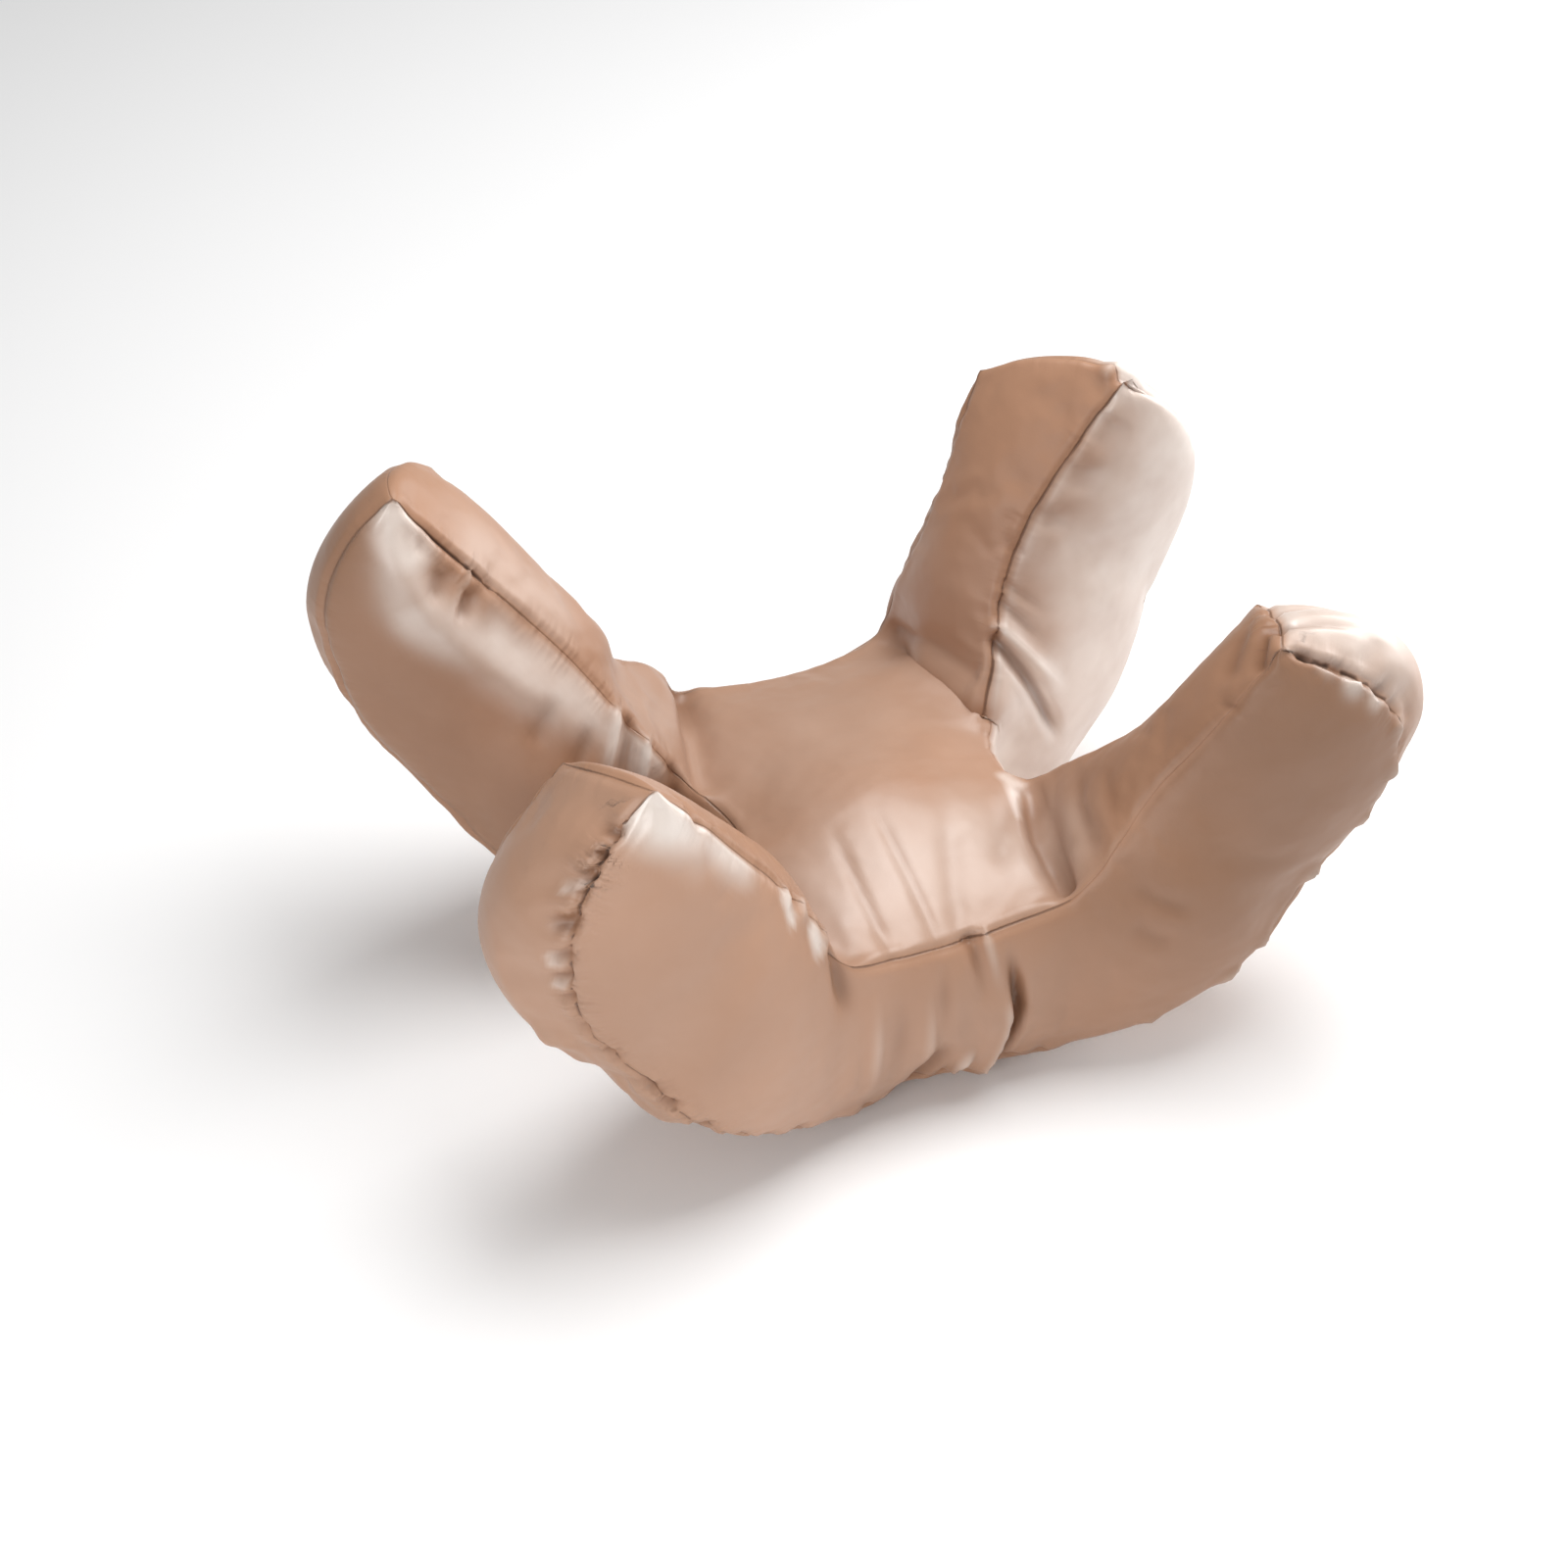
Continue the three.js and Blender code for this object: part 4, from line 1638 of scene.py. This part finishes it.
SEAMS = (
    Seam("back_left.inner", Rim.LAST, 0.70, 1.00, pull=1.0, gathers=0.4),
    Seam("back_left.inner", Rim.LAST, 0.10, 0.60, pull=0.3, gathers=0.4),
    Seam("back_left.outer", Rim.LAST, 0.35, 0.75, pull=1.3, gathers=0.3),
    Seam("back_left.inner", Rim.TIP, 0.0, 1.0, pull=0.2, gathers=0.1),
    Seam("front_left.inner", Rim.FIRST, 0.0, 0.9, pull=0.35, gathers=0.3),
    Seam("front_left.outer", Rim.FIRST, 0.62, 0.95, pull=0.95, gathers=1.0),
    Seam("front_left.outer", Rim.FIRST, 0.15, 0.60, pull=0.55, gathers=0.6),
    Seam("front", Rim.FIRST, 0.0, 1.0, pull=0.6, gathers=0.1),
    Seam("front_right.inner", Rim.FIRST, 0.0, 0.92, pull=0.15, gathers=0.05),
    Seam("front_right.outer", Rim.FIRST, 0.80, 1.0, pull=1.1, gathers=0.7),
    Seam("front_right.inner", Rim.TIP, 0.0, 1.0, pull=0.6, gathers=0.4),
    Seam("back_right.inner", Rim.LAST, 0.0, 1.0, pull=0.7, gathers=0.2),
    Seam("right", Rim.FIRST, 0.0, 1.0, pull=0.3, gathers=0.3),
)

# Stretches painted lighter or darker to stand in for how the light falls on each panel.
PAINTED_LIGHTS_AND_SHADES = {
    "front_right.end": (PaintedStroke((0.95, 0.5), (0.50, 0.5), width=0.080, pale=-0.36),),
    "front_right.inner": (PaintedStroke((0.90, 0.5), (0.30, 0.5), width=0.055, pale=-0.26),),
    "front_left.end": (
        PaintedStroke((0.85, 0.5), (0.10, 0.5), width=0.080, pale=0.22),
        PaintedStroke((0.62, 0.88), (0.45, 0.80), width=0.030, pale=-0.16),
        PaintedStroke((0.22, 0.55), (0.10, 0.75), width=0.034, pale=0.12),
    ),
    "front_left.outer": (PaintedStroke((0.95, 0.3), (0.35, 0.35), width=0.080, pale=0.08),),
    "front": (PaintedStroke((0.10, 0.80), (0.45, 0.95), width=0.016, pale=-0.16),),
    "back_right.inner": (PaintedStroke((0.25, 0.3), (0.90, 0.4), width=0.070, pale=0.12),),
    "back_left.flank": (
        PaintedStroke((0.95, 0.85), (0.35, 0.80), width=0.050, pale=-0.22),
        PaintedStroke((0.52, 0.30), (0.36, 0.26), width=0.026, pale=0.26),
    ),
}

# Painted highlights and glints, with negative rows that dim them in dimples.
PAINTED_HIGHLIGHTS = {
    "back_left.inner": (PaintedStroke((0.75, 0.85), (0.55, 0.80), width=0.022, pale=0.20),),
    "back_right.flank": (
        PaintedStroke((0.0, 0.45), (0.97, 0.45), width=0.075, pale=0.84),
        PaintedStroke((0.88, 0.16), (0.79, 0.05), width=0.012, pale=-0.50),
        PaintedStroke((0.76, 0.08), (0.66, 0.11), width=0.011, pale=-0.45),
        PaintedStroke((0.64, 0.05), (0.57, 0.10), width=0.009, pale=-0.35),
        PaintedStroke((0.44, 0.04), (0.34, 0.20), width=0.010, pale=-0.30),
    ),
    "back_left.flank": (
        PaintedStroke((0.95, 0.24), (0.86, 0.26), width=0.014, pale=0.85),
        PaintedStroke((0.84, 0.33), (0.74, 0.36), width=0.014, pale=0.50),
        PaintedStroke((0.74, 0.36), (0.62, 0.19), width=0.013, pale=0.75),
        PaintedStroke((0.62, 0.17), (0.36, 0.10), width=0.015, pale=0.75),
        PaintedStroke((0.36, 0.10), (0.18, 0.03), width=0.013, pale=0.60),
    ),
    "front_left.end": (
        PaintedStroke((0.85, 0.5), (0.05, 0.5), width=0.080, pale=0.07),
        PaintedStroke((0.93, 0.75), (0.95, 0.35), width=0.012, pale=0.85),
        PaintedStroke((0.95, 0.35), (0.80, 0.05), width=0.019, pale=1.0),
        PaintedStroke((0.80, 0.05), (0.60, 0.0), width=0.013, pale=0.90),
        PaintedStroke((0.39, 0.04), (0.365, 0.09), width=0.0040, pale=0.90),
        PaintedStroke((0.26, 0.04), (0.235, 0.09), width=0.0040, pale=0.90),
    ),
    "front_left.outer": (
        PaintedStroke((0.95, 0.3), (0.35, 0.35), width=0.080, pale=0.06),
        PaintedStroke((0.83, 0.03), (0.82, 0.11), width=0.0030, pale=0.50),
        PaintedStroke((0.715, 0.03), (0.71, 0.10), width=0.0030, pale=0.50),
        PaintedStroke((0.675, 0.03), (0.67, 0.08), width=0.0030, pale=0.36),
    ),
    "front": (PaintedStroke((0.0, 0.5), (0.5, 0.5), width=0.050, pale=0.06),),
    "pad_top": (
        PaintedStroke((0.72, 0.2), (0.72, 0.8), width=0.080, pale=0.12),
        PaintedStroke((0.19, 0.12), (0.17, 0.88), width=0.042, pale=0.28),
        PaintedStroke((0.40, 0.95), (0.27, 0.93), width=0.0045, pale=0.75),
    ),
    "front_right.outer": (PaintedStroke((0.99, 0.5), (0.88, 0.5), width=0.038, pale=0.74),),
    "front_right.end": (
        PaintedStroke((0.87, 0.98), (0.855, 0.90), width=0.0060, pale=0.70),
        PaintedStroke((0.82, 0.98), (0.81, 0.93), width=0.0050, pale=0.50),
        PaintedStroke((0.93, 0.97), (0.91, 0.93), width=0.0045, pale=0.40),
    ),
    "back_right.outer": (PaintedStroke((0.985, 0.93), (0.78, 0.97), width=0.016, pale=0.75),),
}


def main() -> None:
    """Builds the pillow and the studio, and logs how many faces the pillow has."""
    logging.basicConfig(level=logging.INFO, format="%(name)s: %(message)s")
    pillow = Pillow(Cover(ARMS, EDGES), FOLDS, GATHERS, SEAMS, {PaintLayer.SHINE: PAINTED_HIGHLIGHTS, PaintLayer.TONE: PAINTED_LIGHTS_AND_SHADES})
    piece = pillow.build()
    pillow.dress(piece)
    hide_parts("pillow")
    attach(piece, "root")
    LOG.info("%s has %d faces", piece.name, len(piece.data.polygons))
    Studio().build()
    LOG.info("studio is set")


if __name__ == "__main__":
    main()
